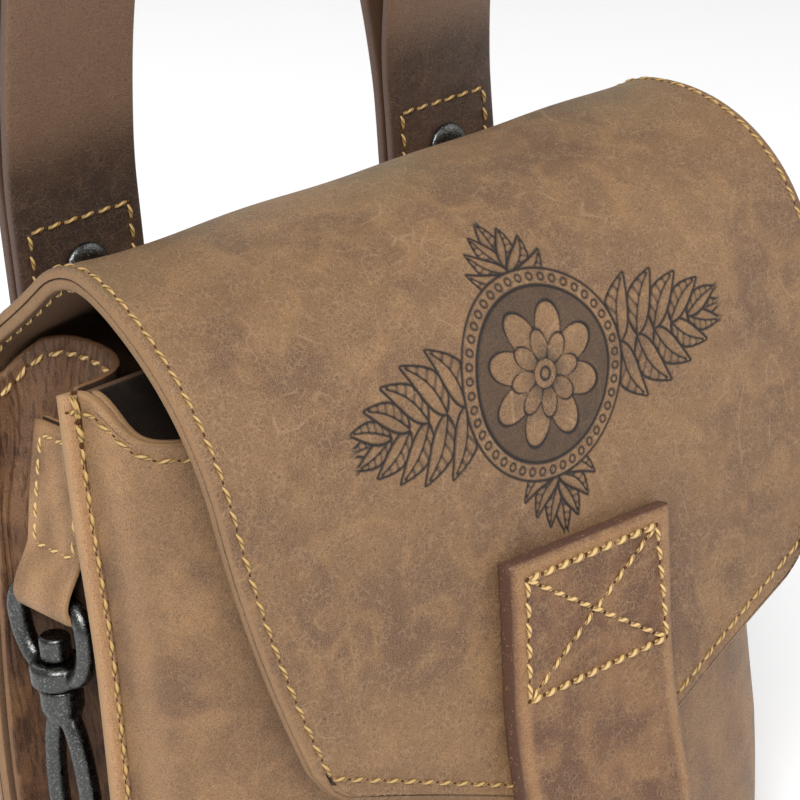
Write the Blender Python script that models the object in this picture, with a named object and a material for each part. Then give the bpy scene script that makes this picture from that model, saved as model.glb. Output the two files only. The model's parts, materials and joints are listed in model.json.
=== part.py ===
"""Leather belt bag with a domed flap, a front pocket, belt loops and two swivel snap hooks.

The bag stands on its base. X is its width, -Y its front and +Z up, in metres. The origin is the
middle of the base panel's underside.
"""

import math

import bmesh
import bpy
from mathutils import Matrix, Vector

MM = 0.001

# Leather and clearances
FLAP_LEATHER = 2.4 * MM
LINING_LEATHER = 2.4 * MM
POCKET_LEATHER = 2.4 * MM
FACING_LEATHER = 2.0 * MM
GUSSET_LEATHER = 1.6 * MM
DIVIDER_LEATHER = 1.8 * MM
TAB_LEATHER = 1.7 * MM
LOOP_LEATHER = 2.6 * MM
STRAP_THICKNESS = 4.6 * MM
BASE_THICKNESS = 2.7 * MM
GAP = 0.3 * MM
METAL_PLAY = 0.3 * MM
DOME_RIM_SHARE = 0.25
MERGE_DISTANCE = 0.01 * MM
SHARP_ANGLE = math.radians(40)

# Body
SEAM_SPAN = 158.6 * MM
SEAM_HEIGHT = 154.5 * MM
BODY_DEPTH = 82.0 * MM
REAR_DEPTH = 39.3 * MM
BASE_WELT = 1.0 * MM
DIVIDER_DROP = 0.8 * MM
DIVIDER_END_GAP = 0.4 * MM

# Side seam lip, turned out and back
LIP_WIDTH = 5.2 * MM
LIP_SWEEP = math.radians(8)

# Flap: arcs and straights of its outer face, seen from the side
RIDGE_RISE = 20.5 * MM
RIDGE_SETBACK = 37.3 * MM
FRONT_ARC_RADIUS = 40.2 * MM
FRONT_TURN = math.radians(84)
RIDGE_ARC_RADIUS = 21.0 * MM
BACK_SLOPE = math.radians(34)
BACK_ARC_RADIUS = 18.0 * MM

# Flap: outline, with its lengths along the leather from the ridge
FLAP_RIDGE_WIDTH = 153.5 * MM
BACK_WIDTH = 169.0 * MM
BACK_FLARE_HEIGHT = 62.0 * MM
FLAP_WIDEST = 158.7 * MM
FLAP_WIDEST_AT = 35.3 * MM
FLAP_TIP_HEIGHT = 51.7 * MM
FLAP_POINT_DEPTH = 30.0 * MM
FLAP_CORNER_ROUND = 6.0 * MM

# Front pocket mouth
MOUTH_DIP = 8.0 * MM
MOUTH_DIP_START = 1.5 * MM
MOUTH_DIP_END = 14.0 * MM
FACING_WIDTH = 16.0 * MM
POCKET_FLAP_CLEARANCE = 0.6 * MM

# Rear gusset
GUSSET_FOLD = 15.0 * MM
GUSSET_ROUNDNESS = 3.6
EAR_RISE = 0.8 * MM
EAR_REAR_DROP = 4.0 * MM

# Leather tab that holds the snap hook
TAB_DROP = 13.7 * MM
TAB_LENGTH = 32.2 * MM
TAB_WIDTH = 16.4 * MM
TAB_SETBACK = 22.6 * MM
TAB_FLARE_HEIGHT = 11.0 * MM
TAB_BEARING = 2.0 * MM

# Snap hook
EYE_WIRE_RADIUS = 1.8 * MM
EYE_WIDTH = 27.2 * MM
EYE_CORNER_RADIUS = 2.0 * MM
EYE_TAB_OFFSET = 1.4 * MM
COLLAR_RADIUS = 5.6 * MM
COLLAR_TALL = 5.2 * MM
COLLAR_DROP = 16.2 * MM
COLLAR_CHAMFER = 0.9 * MM
EYE_FOOT_DEPTH = 2.7 * MM
EYE_FOOT_SPREAD = 3.9 * MM
POST_RADIUS = 1.7 * MM
POST_HEAD_RADIUS = 3.1 * MM
POST_HEAD_TALL = 4.9 * MM
POST_HEAD_CHAMFER = 0.5 * MM
BARREL_RADIUS = 4.3 * MM
BARREL_TALL = 7.5 * MM
BARREL_TAPER_TALL = 3.0 * MM
BARREL_END_RADIUS = 3.2 * MM
HOOK_WIRE_RADIUS = 2.2 * MM
HOOK_WIDTH = 16.6 * MM
HOOK_TALL = 36.0 * MM
HOOK_SINK = 1.3 * MM
HOOK_TOP_WIDTH = 13.9 * MM
HOOK_ROUNDNESS = 0.8

# Closing strap and its stud
STRAP_WIDTH = 43.0 * MM
STRAP_OVERLAP = 58.7 * MM
STRAP_LEAVE = 2.0 * MM
STRAP_END_HEIGHT = 14.0 * MM
STUD_HEIGHT = 28.0 * MM
STUD_POST_RADIUS = 2.4 * MM
STUD_CAP_RADIUS = 5.5 * MM
STUD_CAP_TALL = 2.6 * MM
STUD_FOOT_RADIUS = 6.5 * MM
STUD_FOOT_THICKNESS = 1.4 * MM

# Belt loops behind the flap
LOOP_SPACING = 96.0 * MM
LOOP_WIDTH = 30.0 * MM
LOOP_FOOT_DROP = 75.0 * MM
LOOP_THROAT_DROP = 1.0 * MM
LOOP_OPENING = 60.0 * MM
LOOP_BULGE = 26.0 * MM
LOOP_THROAT_LENGTH = 5.0 * MM
LOOP_SPREAD_POWER = 1.7
RIVET_DROP = 14.5 * MM
RIVET_SHAFT_RADIUS = 1.6 * MM
RIVET_CAP_RADIUS = 5.2 * MM
RIVET_CAP_TALL = 2.0 * MM

# Front pocket sections: share of the seam's height, share of the pocket's depth, roundness in plan
POCKET_SECTIONS = (
    (0.00, 0.95, 2.30),
    (0.20, 1.00, 2.30),
    (0.42, 1.00, 2.30),
    (0.62, 0.94, 2.35),
    (0.79, 0.83, 2.40),
    (1.00, 0.69, 2.40),
)

# Gusset sections: share of the seam's height, share of the fold's depth
GUSSET_SECTIONS = (
    (0.00, 0.35),
    (0.12, 0.70),
    (0.30, 0.86),
    (0.48, 0.84),
    (0.60, 0.62),
    (0.70, 0.40),
    (0.78, 0.42),
    (0.88, 0.64),
    (0.95, 0.84),
    (1.04, 1.00),
)

# Places that follow from the sizes above
HALF_SPAN = SEAM_SPAN / 2
BACK_Y = BODY_DEPTH / 2
SEAM_Y = BACK_Y - REAR_DEPTH
POCKET_DEPTH = BODY_DEPTH - REAR_DEPTH
WALL_FOOT = BASE_THICKNESS + GAP
RIDGE_Y = BACK_Y - RIDGE_SETBACK
RIDGE_HEIGHT = SEAM_HEIGHT + RIDGE_RISE
FLAP_LAYERS = FLAP_LEATHER + GAP + LINING_LEATHER
LINING_OFFSET = -(FLAP_LEATHER + GAP + LINING_LEATHER / 2)
FRONT_ARC_LENGTH = FRONT_ARC_RADIUS * FRONT_TURN
FRONT_ARC_END = RIDGE_HEIGHT - FRONT_ARC_RADIUS * (1 - math.cos(FRONT_TURN))
FLAP_TIP_AT = FRONT_ARC_LENGTH + (FRONT_ARC_END - FLAP_TIP_HEIGHT) / math.sin(FRONT_TURN)
FLAP_CORNER_AT = FLAP_TIP_AT - FLAP_POINT_DEPTH
STRAP_TOP_AT = FLAP_TIP_AT - STRAP_OVERLAP
BACK_RUN = (
    RIDGE_SETBACK
    - RIDGE_ARC_RADIUS * math.sin(BACK_SLOPE)
    - BACK_ARC_RADIUS * (1 - math.sin(BACK_SLOPE))
) / math.cos(BACK_SLOPE)
LIP_STEP = (POCKET_LEATHER + GUSSET_LEATHER) / 2 + GAP
LIP_ALONG = Vector((-math.cos(LIP_SWEEP), math.sin(LIP_SWEEP), 0))
LIP_ACROSS = Vector((math.sin(LIP_SWEEP), math.cos(LIP_SWEEP), 0))
GUSSET_FRONT_Y = SEAM_Y + LIP_STEP * LIP_ACROSS.y
GUSSET_BACK_Y = BACK_Y - FLAP_LAYERS - GAP - GUSSET_LEATHER / 2
GUSSET_FRONT_X = HALF_SPAN - LIP_STEP * LIP_ACROSS.x
DIVIDER_Y = GUSSET_FRONT_Y - GUSSET_LEATHER / 2 - GAP - DIVIDER_LEATHER / 2
TAB_Y = BACK_Y - TAB_SETBACK
EYE_Y = TAB_Y + EYE_TAB_OFFSET
TAB_TOP = SEAM_HEIGHT - TAB_DROP
EYE_BAR_HEIGHT = TAB_TOP - TAB_LENGTH
COLLAR_BOTTOM = EYE_BAR_HEIGHT - COLLAR_DROP - COLLAR_TALL / 2
COLLAR_TOP = COLLAR_BOTTOM + COLLAR_TALL
LOOP_FOOT_HEIGHT = RIDGE_HEIGHT - LOOP_FOOT_DROP
LOOP_THROAT_HEIGHT = RIDGE_HEIGHT - LOOP_THROAT_DROP
RIVET_HEIGHT = RIDGE_HEIGHT - RIVET_DROP
LOOP_HALF_STACK = (LOOP_LEATHER + GAP) / 2
LOOP_MID_Y = BACK_Y + GAP + LOOP_LEATHER + GAP / 2


def clear_scene():
    """Remove the objects that a new file starts with."""
    for obj in list(bpy.data.objects):
        bpy.data.objects.remove(obj, do_unlink=True)


def make_material(name, color, roughness, metallic=0.0):
    """A Principled material of one colour."""
    material = bpy.data.materials.new(name)
    material.use_nodes = True
    shader = material.node_tree.nodes["Principled BSDF"]
    shader.inputs["Base Color"].default_value = (*color, 1.0)
    shader.inputs["Roughness"].default_value = roughness
    shader.inputs["Metallic"].default_value = metallic
    material.diffuse_color = (*color, 1.0)
    return material


def smoothstep(share):
    """Ease from 0 to 1."""
    share = min(max(share, 0.0), 1.0)
    return share * share * (3 - 2 * share)


def read_table(table, share, column):
    """Value of a table's column at a share, on a smooth curve through its rows."""
    last = len(table) - 1
    share = min(max(share, table[0][0]), table[last][0])
    row = 0
    while row < last - 1 and share > table[row + 1][0]:
        row += 1

    def slope(index):
        """Slope of the column at a row."""
        low = max(index - 1, 0)
        high = min(index + 1, last)
        return (table[high][column] - table[low][column]) / (table[high][0] - table[low][0])

    span = table[row + 1][0] - table[row][0]
    t = (share - table[row][0]) / span
    start = table[row][column]
    end = table[row + 1][column]
    return (
        (2 * t**3 - 3 * t**2 + 1) * start
        + (t**3 - 2 * t**2 + t) * span * slope(row)
        + (3 * t**2 - 2 * t**3) * end
        + (t**3 - t**2) * span * slope(row + 1)
    )


def signed_power(value, exponent):
    """Power that keeps the sign of its base."""
    return math.copysign(abs(value) ** exponent, value)


def add_object(name, mesh, material):
    """Link a mesh as an object with its material."""
    mesh.materials.append(material)
    obj = bpy.data.objects.new(name, mesh)
    bpy.context.collection.objects.link(obj)
    return obj


def mesh_from(bm, name):
    """Turn a bmesh into a smooth-shaded mesh."""
    mesh = bpy.data.meshes.new(name)
    bm.to_mesh(mesh)
    bm.free()
    mesh.shade_smooth()
    mesh.set_sharp_from_angle(angle=SHARP_ANGLE)
    return mesh


def make_sheet(name, rows, thickness, material):
    """Leather sheet: a grid of points on its middle surface, given its thickness both ways."""
    bm = bmesh.new()
    grid = [[bm.verts.new(point) for point in row] for row in rows]
    for low, high in zip(grid, grid[1:]):
        for index in range(len(low) - 1):
            bm.faces.new((low[index], low[index + 1], high[index + 1], high[index]))
    obj = add_object(name, mesh_from(bm, name), material)
    solidify = obj.modifiers.new("thickness", "SOLIDIFY")
    solidify.thickness = thickness
    solidify.offset = 0.0
    solidify.use_even_offset = True
    return obj


def make_turned(name, profile, sides, axis, centre, material):
    """Turned solid: (radius, height) pairs from one pole to the other, spun round an axis."""
    bm = bmesh.new()
    points = [bm.verts.new((radius, 0, height)) for radius, height in profile]
    edges = [bm.edges.new(pair) for pair in zip(points, points[1:])]
    bmesh.ops.spin(
        bm,
        geom=points + edges,
        cent=(0, 0, 0),
        axis=(0, 0, 1),
        angle=math.tau,
        steps=sides,
        use_merge=True,
    )
    bmesh.ops.remove_doubles(bm, verts=bm.verts, dist=MERGE_DISTANCE)
    bmesh.ops.recalc_face_normals(bm, faces=bm.faces)
    turn = Vector((0, 0, 1)).rotation_difference(Vector(axis))
    bmesh.ops.rotate(bm, verts=bm.verts, cent=(0, 0, 0), matrix=turn.to_matrix())
    bmesh.ops.translate(bm, verts=bm.verts, vec=centre)
    return add_object(name, mesh_from(bm, name), material)


def make_wire(name, path, radius, sides, closed, material):
    """Round wire along a path that lies in a plane of constant X."""
    bm = bmesh.new()
    count = len(path)
    rings = []
    for index, point in enumerate(path):
        before = path[(index - 1) % count] if closed or index else point
        after = path[(index + 1) % count] if closed or index < count - 1 else point
        along = (after - before).normalized()
        side = Vector((1, 0, 0))
        across = along.cross(side)
        ring = []
        for step in range(sides):
            angle = math.tau * (step + 0.5) / sides
            spot = point + radius * (side * math.cos(angle) + across * math.sin(angle))
            ring.append(bm.verts.new(spot))
        rings.append(ring)
    pairs = list(zip(rings, rings[1:]))
    if closed:
        pairs.append((rings[-1], rings[0]))
    else:
        bm.faces.new(rings[0])
        bm.faces.new(rings[-1])
    for low, high in pairs:
        for step in range(sides):
            after = (step + 1) % sides
            bm.faces.new((low[step], low[after], high[after], high[step]))
    bmesh.ops.recalc_face_normals(bm, faces=bm.faces)
    return add_object(name, mesh_from(bm, name), material)


def combine(target, tool, operation):
    """Join a second solid to the first or cut it away, and keep only the result."""
    modifier = target.modifiers.new("combine", "BOOLEAN")
    modifier.operation = operation
    modifier.solver = "EXACT"
    modifier.object = tool
    shown = target.evaluated_get(bpy.context.evaluated_depsgraph_get())
    mesh = bpy.data.meshes.new_from_object(shown)
    target.modifiers.clear()
    target.data = mesh
    bpy.data.objects.remove(tool, do_unlink=True)


def move_origin(obj, spot):
    """Put an object's origin at a spot and leave its shape where it is."""
    obj.data.transform(Matrix.Translation(-spot))
    obj.location = spot


def drill(target, centre, radius, length, sides=16):
    """Cut a round hole along Y."""
    profile = ((0, -length / 2), (radius, -length / 2), (radius, length / 2), (0, length / 2))
    cutter = make_turned("cutter", profile, sides, (0, 1, 0), centre, target.data.materials[0])
    combine(target, cutter, "DIFFERENCE")


def flap_point(along, offset):
    """Point of the flap seen from the side, measured from the ridge, as (y, z).

    A positive length runs down the front and a negative one down the back. The offset is
    outwards from the outer face.
    """
    if along >= 0:
        angle = min(along / FRONT_ARC_RADIUS, FRONT_TURN)
        run = max(along - FRONT_ARC_LENGTH, 0.0)
        y = RIDGE_Y - FRONT_ARC_RADIUS * math.sin(angle) - run * math.cos(angle)
        z = RIDGE_HEIGHT - FRONT_ARC_RADIUS * (1 - math.cos(angle)) - run * math.sin(angle)
        return y - offset * math.sin(angle), z + offset * math.cos(angle)
    left = -along
    angle = min(left / RIDGE_ARC_RADIUS, BACK_SLOPE)
    y = RIDGE_Y + RIDGE_ARC_RADIUS * math.sin(angle)
    z = RIDGE_HEIGHT - RIDGE_ARC_RADIUS * (1 - math.cos(angle))
    left = max(left - RIDGE_ARC_RADIUS * BACK_SLOPE, 0.0)
    run = min(left, BACK_RUN)
    y += run * math.cos(angle)
    z -= run * math.sin(angle)
    left -= run
    if left > 0:
        angle = min(BACK_SLOPE + left / BACK_ARC_RADIUS, math.pi / 2)
        y += BACK_ARC_RADIUS * (math.sin(angle) - math.sin(BACK_SLOPE))
        z -= BACK_ARC_RADIUS * (math.cos(BACK_SLOPE) - math.cos(angle))
        z -= max(left - BACK_ARC_RADIUS * (math.pi / 2 - BACK_SLOPE), 0.0)
    return y + offset * math.sin(angle), z + offset * math.cos(angle)


def back_length():
    """Length of leather from the ridge down the back to the base panel."""
    turns = RIDGE_ARC_RADIUS * BACK_SLOPE + BACK_RUN + BACK_ARC_RADIUS * (math.pi / 2 - BACK_SLOPE)
    return turns + flap_point(-turns, 0.0)[1] - WALL_FOOT


def back_half_width(height):
    """Half width of the back at a height: it flares from the ridge to its lower part."""
    share = (RIDGE_HEIGHT - height) / (RIDGE_HEIGHT - BACK_FLARE_HEIGHT)
    return (FLAP_RIDGE_WIDTH + (BACK_WIDTH - FLAP_RIDGE_WIDTH) * smoothstep(share)) / 2


def flap_half_width(along):
    """Half width of the leather at a length from the ridge."""
    if along <= 0:
        return back_half_width(flap_point(along, 0.0)[1])
    away = (along - FLAP_WIDEST_AT) / FLAP_WIDEST_AT
    return FLAP_WIDEST / 2 - (FLAP_WIDEST - FLAP_RIDGE_WIDTH) / 2 * away**2


def flap_end(across):
    """Length down the front to the lower edge, at a share of the half width."""
    across = abs(across)
    end = FLAP_TIP_AT - (FLAP_TIP_AT - FLAP_CORNER_AT) * across
    round_share = FLAP_CORNER_ROUND / (FLAP_RIDGE_WIDTH / 2)
    into_corner = max(across - 1 + round_share, 0.0) / round_share
    return end - FLAP_CORNER_ROUND * (1 - math.sqrt(max(1 - into_corner**2, 0.0)))


def flap_inner_y(height):
    """Place of the flap's inner face at a height, on the front."""
    radius = FRONT_ARC_RADIUS - FLAP_LAYERS
    centre = RIDGE_HEIGHT - FRONT_ARC_RADIUS
    end_height = centre + radius * math.cos(FRONT_TURN)
    if height > end_height:
        rise = min(height - centre, radius)
        return RIDGE_Y - math.sqrt(radius**2 - rise**2)
    end_y = RIDGE_Y - radius * math.sin(FRONT_TURN)
    return end_y - (end_height - height) / math.tan(FRONT_TURN)


def flap_inner_height(y):
    """Height of the flap's inner face above a place behind the ridge."""
    steps = 60
    length = back_length()
    inner = [flap_point(-length * step / steps, -FLAP_LAYERS) for step in range(steps + 1)]
    for (y0, z0), (y1, z1) in zip(inner, inner[1:]):
        if y0 <= y <= y1:
            return z0 + (z1 - z0) * (y - y0) / max(y1 - y0, 1e-9)
    return inner[-1][1] if y > inner[-1][0] else RIDGE_HEIGHT - FLAP_LAYERS


def flap_rows():
    """Lengths from the ridge at which the flap has a row, down to the end of the front arc."""
    turn = RIDGE_ARC_RADIUS * BACK_SLOPE
    slope_end = turn + BACK_RUN
    back_arc = BACK_ARC_RADIUS * (math.pi / 2 - BACK_SLOPE)
    arc_end = slope_end + back_arc
    bottom = back_length()
    rows = [-(bottom + (arc_end - bottom) * step / 2) for step in range(2)]
    rows += [-(arc_end - back_arc * step / 4) for step in range(4)]
    rows += [-slope_end]
    rows += [-turn * (1 - step / 3) for step in range(3)]
    rows += [FRONT_ARC_LENGTH * step / 9 for step in range(10)]
    return rows


def make_flap(name, offset, thickness, material):
    """One leather layer of the flap and the back."""
    columns = (0, 0.3, 0.6, 0.85, 0.94, 0.98, 1)
    shares = [-share for share in reversed(columns[1:])] + list(columns)
    rows = []
    for along in flap_rows():
        y, z = flap_point(along, offset)
        rows.append([Vector((share * flap_half_width(along), y, z)) for share in shares])
    front_rows = 6
    for step in range(1, front_rows + 1):
        row = []
        for share in shares:
            along = FRONT_ARC_LENGTH + (flap_end(share) - FRONT_ARC_LENGTH) * step / front_rows
            y, z = flap_point(along, offset)
            row.append(Vector((share * flap_half_width(along), y, z)))
        rows.append(row)
    return make_sheet(name, rows, thickness, material)


def pocket_depth(height):
    """Depth of the pocket's outer face in front of the seams, at a height."""
    own = POCKET_DEPTH * read_table(POCKET_SECTIONS, height / SEAM_HEIGHT, 1)
    room = SEAM_Y - flap_inner_y(height) - POCKET_FLAP_CLEARANCE
    return min(own, room)


def pocket_depths(low, high):
    """Depths of the pocket's outer face at heights from low to high."""
    steps = 8
    return [pocket_depth(low + (high - low) * step / steps) for step in range(steps + 1)]


def pocket_point(angle, height, inset):
    """Point of the pocket's wall: the angle runs from 0 at the left seam to pi at the right."""
    power = 2 / read_table(POCKET_SECTIONS, height / SEAM_HEIGHT, 2)
    depth = pocket_depth(height) - inset
    x = -(HALF_SPAN - max(inset - POCKET_LEATHER / 2, 0.0)) * signed_power(math.cos(angle), power)
    return Vector((x, SEAM_Y - depth * abs(math.sin(angle)) ** power, height))


def mouth_height(y):
    """Height of the pocket's top edge, which dips in front of the seams."""
    share = (SEAM_Y - y - MOUTH_DIP_START) / (MOUTH_DIP_END - MOUTH_DIP_START)
    return SEAM_HEIGHT - MOUTH_DIP * smoothstep(share)


def make_pocket(material):
    """Front pocket wall, from the tip of one lip round the front to the other."""
    arc_steps = 26
    shares = (0, 0.12, 0.28, 0.44, 0.6, 0.74, 0.86, 0.94, 1)
    inset = POCKET_LEATHER / 2
    rows = []
    for share in shares:
        arc = []
        for step in range(arc_steps + 1):
            angle = math.pi * step / arc_steps
            guess = pocket_point(angle, SEAM_HEIGHT, inset)
            height = WALL_FOOT + share * (mouth_height(guess.y) - WALL_FOOT)
            arc.append(pocket_point(angle, height, inset))
        left_tip = arc[0] + LIP_WIDTH * LIP_ALONG
        right_tip = Vector((-left_tip.x, left_tip.y, left_tip.z))
        rows.append([left_tip] + arc + [right_tip])
    pocket = make_sheet("pocket_front", rows, POCKET_LEATHER, material)
    front = SEAM_Y - pocket_depth(STUD_HEIGHT)
    hole = Vector((0, front, STUD_HEIGHT))
    drill(pocket, hole, STUD_POST_RADIUS + METAL_PLAY, 4 * POCKET_LEATHER)
    return pocket


def make_facing(material):
    """Second layer of leather along the pocket's mouth."""
    arc_steps = 22
    inset = POCKET_LEATHER + GAP + FACING_LEATHER / 2
    clear = DIVIDER_LEATHER / 2 + GAP + SEAM_Y - DIVIDER_Y
    power = read_table(POCKET_SECTIONS, 1.0, 2) / 2
    start = math.asin((2 * clear / pocket_depth(SEAM_HEIGHT)) ** power)
    rows = []
    for share in (0.0, 0.5, 1.0):
        row = []
        for step in range(arc_steps + 1):
            angle = start + (math.pi - 2 * start) * step / arc_steps
            guess = pocket_point(angle, SEAM_HEIGHT, inset)
            height = mouth_height(guess.y) - FACING_WIDTH * (1 - share)
            row.append(pocket_point(angle, height, inset))
        rows.append(row)
    return make_sheet("pocket_facing", rows, FACING_LEATHER, material)


def make_divider(material):
    """Wall between the rear compartment and the front pocket."""
    half = HALF_SPAN - POCKET_LEATHER / 2 - DIVIDER_END_GAP
    columns = 6
    rows = []
    for height in (WALL_FOOT, SEAM_HEIGHT / 2, SEAM_HEIGHT - DIVIDER_DROP):
        spots = [half * (2 * step / columns - 1) for step in range(columns + 1)]
        rows.append([Vector((x, DIVIDER_Y, height)) for x in spots])
    return make_sheet("divider", rows, DIVIDER_LEATHER, material)


def gusset_fold(height):
    """Depth of the gusset's fold towards the inside, at a height."""
    return GUSSET_FOLD * read_table(GUSSET_SECTIONS, height / SEAM_HEIGHT, 1)


def gusset_point(angle, height):
    """Point of the left gusset: the angle runs from 0 at the side seam to pi at the back."""
    power = 2 / GUSSET_ROUNDNESS
    middle = (GUSSET_FRONT_Y + GUSSET_BACK_Y) / 2
    half = (GUSSET_BACK_Y - GUSSET_FRONT_Y) / 2
    y = middle - half * signed_power(math.cos(angle), power)
    share = (y - GUSSET_FRONT_Y) / (GUSSET_BACK_Y - GUSSET_FRONT_Y)
    back_edge = back_half_width(height) - GUSSET_LEATHER / 2
    edge = GUSSET_FRONT_X + (back_edge - GUSSET_FRONT_X) * share
    x = -edge + gusset_fold(height) * abs(math.sin(angle)) ** power
    return Vector((x, y, height))


def ear_height(y):
    """Height of the gusset's top edge, which rises behind the seam and falls to the back."""
    share = (y - GUSSET_FRONT_Y) / (GUSSET_BACK_Y - GUSSET_FRONT_Y)
    own = SEAM_HEIGHT + EAR_RISE * math.sin(math.pi * share) - EAR_REAR_DROP * smoothstep(share)
    return min(own, flap_inner_height(y + GUSSET_LEATHER / 2) - 2 * GAP)


def make_gusset(name, side, material):
    """Side wall of the rear compartment, with its layer of the seam's lip."""
    arc_steps = 14
    shares = (0, 0.12, 0.24, 0.36, 0.48, 0.58, 0.66, 0.74, 0.82, 0.9, 0.96, 1)
    tops = []
    for step in range(arc_steps + 1):
        angle = math.pi * step / arc_steps
        tops.append((angle, ear_height(gusset_point(angle, SEAM_HEIGHT).y)))
    rows = []
    for share in shares:
        row = []
        for angle, top in tops:
            row.append(gusset_point(angle, WALL_FOOT + share * (top - WALL_FOOT)))
        tip = row[0] + LIP_WIDTH * LIP_ALONG
        rows.append([Vector((-side * p.x, p.y, p.z)) for p in [tip] + row])
    return make_sheet(name, rows, GUSSET_LEATHER, material)


def make_base(material):
    """Flat bottom: an ellipse-like front under the pocket and a straight rear."""
    arc_steps = 32
    outline = []
    for step in range(arc_steps + 1):
        point = pocket_point(math.pi * step / arc_steps, WALL_FOOT, -BASE_WELT)
        scale = 1 + (BASE_WELT + POCKET_LEATHER / 2) / HALF_SPAN
        outline.append(Vector((point.x * scale, point.y, 0)))
    rear_corner = BACK_WIDTH / 2 + BASE_WELT
    outline.append(Vector((rear_corner, BACK_Y, 0)))
    outline.append(Vector((-rear_corner, BACK_Y, 0)))
    bm = bmesh.new()
    face = bm.faces.new([bm.verts.new(point) for point in outline])
    raised = bmesh.ops.extrude_face_region(bm, geom=[face])
    lifted = [item for item in raised["geom"] if isinstance(item, bmesh.types.BMVert)]
    bmesh.ops.translate(bm, verts=lifted, vec=(0, 0, BASE_THICKNESS))
    bmesh.ops.recalc_face_normals(bm, faces=bm.faces)
    return add_object("base_panel", mesh_from(bm, "base_panel"), material)


def gusset_face(height, middle, width):
    """Outermost X of the left gusset at a height, over a width round a middle Y."""
    spots = []
    for step in range(61):
        point = gusset_point(math.pi * step / 60, height)
        if abs(point.y - middle) <= width / 2:
            spots.append(point.x)
    return min(spots) - GUSSET_LEATHER / 2


def tab_inner_x(height):
    """Place of the tab's middle surface where it lies on the left gusset."""
    face = gusset_face(height, TAB_Y, TAB_WIDTH + 2 * TAB_BEARING)
    return face - GAP - TAB_LEATHER / 2


def eye_x():
    """Place of the eye's bar: inside the fold of the left tab, with the eye clear of the gusset."""
    in_fold = tab_inner_x(EYE_BAR_HEIGHT) - TAB_LEATHER / 2 - METAL_PLAY - EYE_WIRE_RADIUS
    faces = []
    for step in range(5):
        height = COLLAR_TOP + (EYE_BAR_HEIGHT - COLLAR_TOP) * step / 4
        faces.append(gusset_face(height, EYE_Y, EYE_WIDTH))
    return min(in_fold, min(faces) - GAP - EYE_WIRE_RADIUS)


def make_tab(name, side, material):
    """Strip of leather laid on the gusset, folded round the eye's bar and laid on itself."""
    fold_radius = EYE_WIRE_RADIUS + METAL_PLAY + TAB_LEATHER / 2
    layer = TAB_LEATHER + GAP
    bar_x = eye_x()
    flare_top = EYE_BAR_HEIGHT + TAB_FLARE_HEIGHT
    path = []
    for step in range(7):
        height = TAB_TOP + (EYE_BAR_HEIGHT - TAB_TOP) * step / 7
        path.append((tab_inner_x(height), height))
    for step in range(11):
        angle = -math.pi * step / 10
        x = bar_x + fold_radius * math.cos(angle)
        path.append((x, EYE_BAR_HEIGHT + fold_radius * math.sin(angle)))
    for step in range(1, 7):
        share = step / 6
        height = EYE_BAR_HEIGHT + TAB_FLARE_HEIGHT * share
        flared = bar_x - fold_radius
        flat = tab_inner_x(flare_top) - layer
        path.append((flared + (flat - flared) * smoothstep(share), height))
    for step in range(1, 5):
        height = flare_top + (TAB_TOP - flare_top) * step / 4
        path.append((tab_inner_x(height) - layer, height))
    rows = []
    for x, z in path:
        edges = (TAB_Y - TAB_WIDTH / 2, TAB_Y + TAB_WIDTH / 2)
        rows.append([Vector((-side * x, y, z)) for y in edges])
    return make_sheet(name, rows, TAB_LEATHER, material)


def make_eye(name, side, material):
    """Eye of the snap hook: a bent bar that ends in a drilled collar."""
    half = EYE_WIDTH / 2 - EYE_WIRE_RADIUS
    x = -side * eye_x()
    foot = COLLAR_TOP - EYE_FOOT_DEPTH
    corner = EYE_BAR_HEIGHT - EYE_CORNER_RADIUS
    right = []
    for step in range(4):
        angle = math.pi / 2 * step / 3
        y = half - EYE_CORNER_RADIUS * (1 - math.sin(angle))
        right.append((y, corner + EYE_CORNER_RADIUS * math.cos(angle)))
    for step in range(1, 6):
        share = step / 5
        inward = (half - EYE_FOOT_SPREAD) * (1 - math.cos(math.pi / 2 * share))
        right.append((half - inward, corner + (foot - corner) * math.sin(math.pi / 2 * share)))
    left = [(-y, z) for y, z in reversed(right)]
    path = [Vector((x, EYE_Y + y, z)) for y, z in left + right]
    eye = make_wire(name, path, EYE_WIRE_RADIUS, 8, False, material)
    profile = (
        (0, COLLAR_BOTTOM),
        (COLLAR_RADIUS - COLLAR_CHAMFER, COLLAR_BOTTOM),
        (COLLAR_RADIUS, COLLAR_BOTTOM + COLLAR_CHAMFER),
        (COLLAR_RADIUS, COLLAR_TOP - COLLAR_CHAMFER),
        (COLLAR_RADIUS - COLLAR_CHAMFER, COLLAR_TOP),
        (0, COLLAR_TOP),
    )
    centre = Vector((x, EYE_Y, 0))
    collar = make_turned("collar", profile, 16, (0, 0, 1), centre, material)
    combine(eye, collar, "UNION")
    bore = POST_RADIUS + METAL_PLAY
    low = COLLAR_BOTTOM - COLLAR_TALL
    high = COLLAR_TOP + COLLAR_TALL
    profile = ((0, low), (bore, low), (bore, high), (0, high))
    cutter = make_turned("cutter", profile, 16, (0, 0, 1), centre, material)
    combine(eye, cutter, "DIFFERENCE")
    move_origin(eye, Vector((x, EYE_Y, EYE_BAR_HEIGHT)))
    return eye


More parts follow.
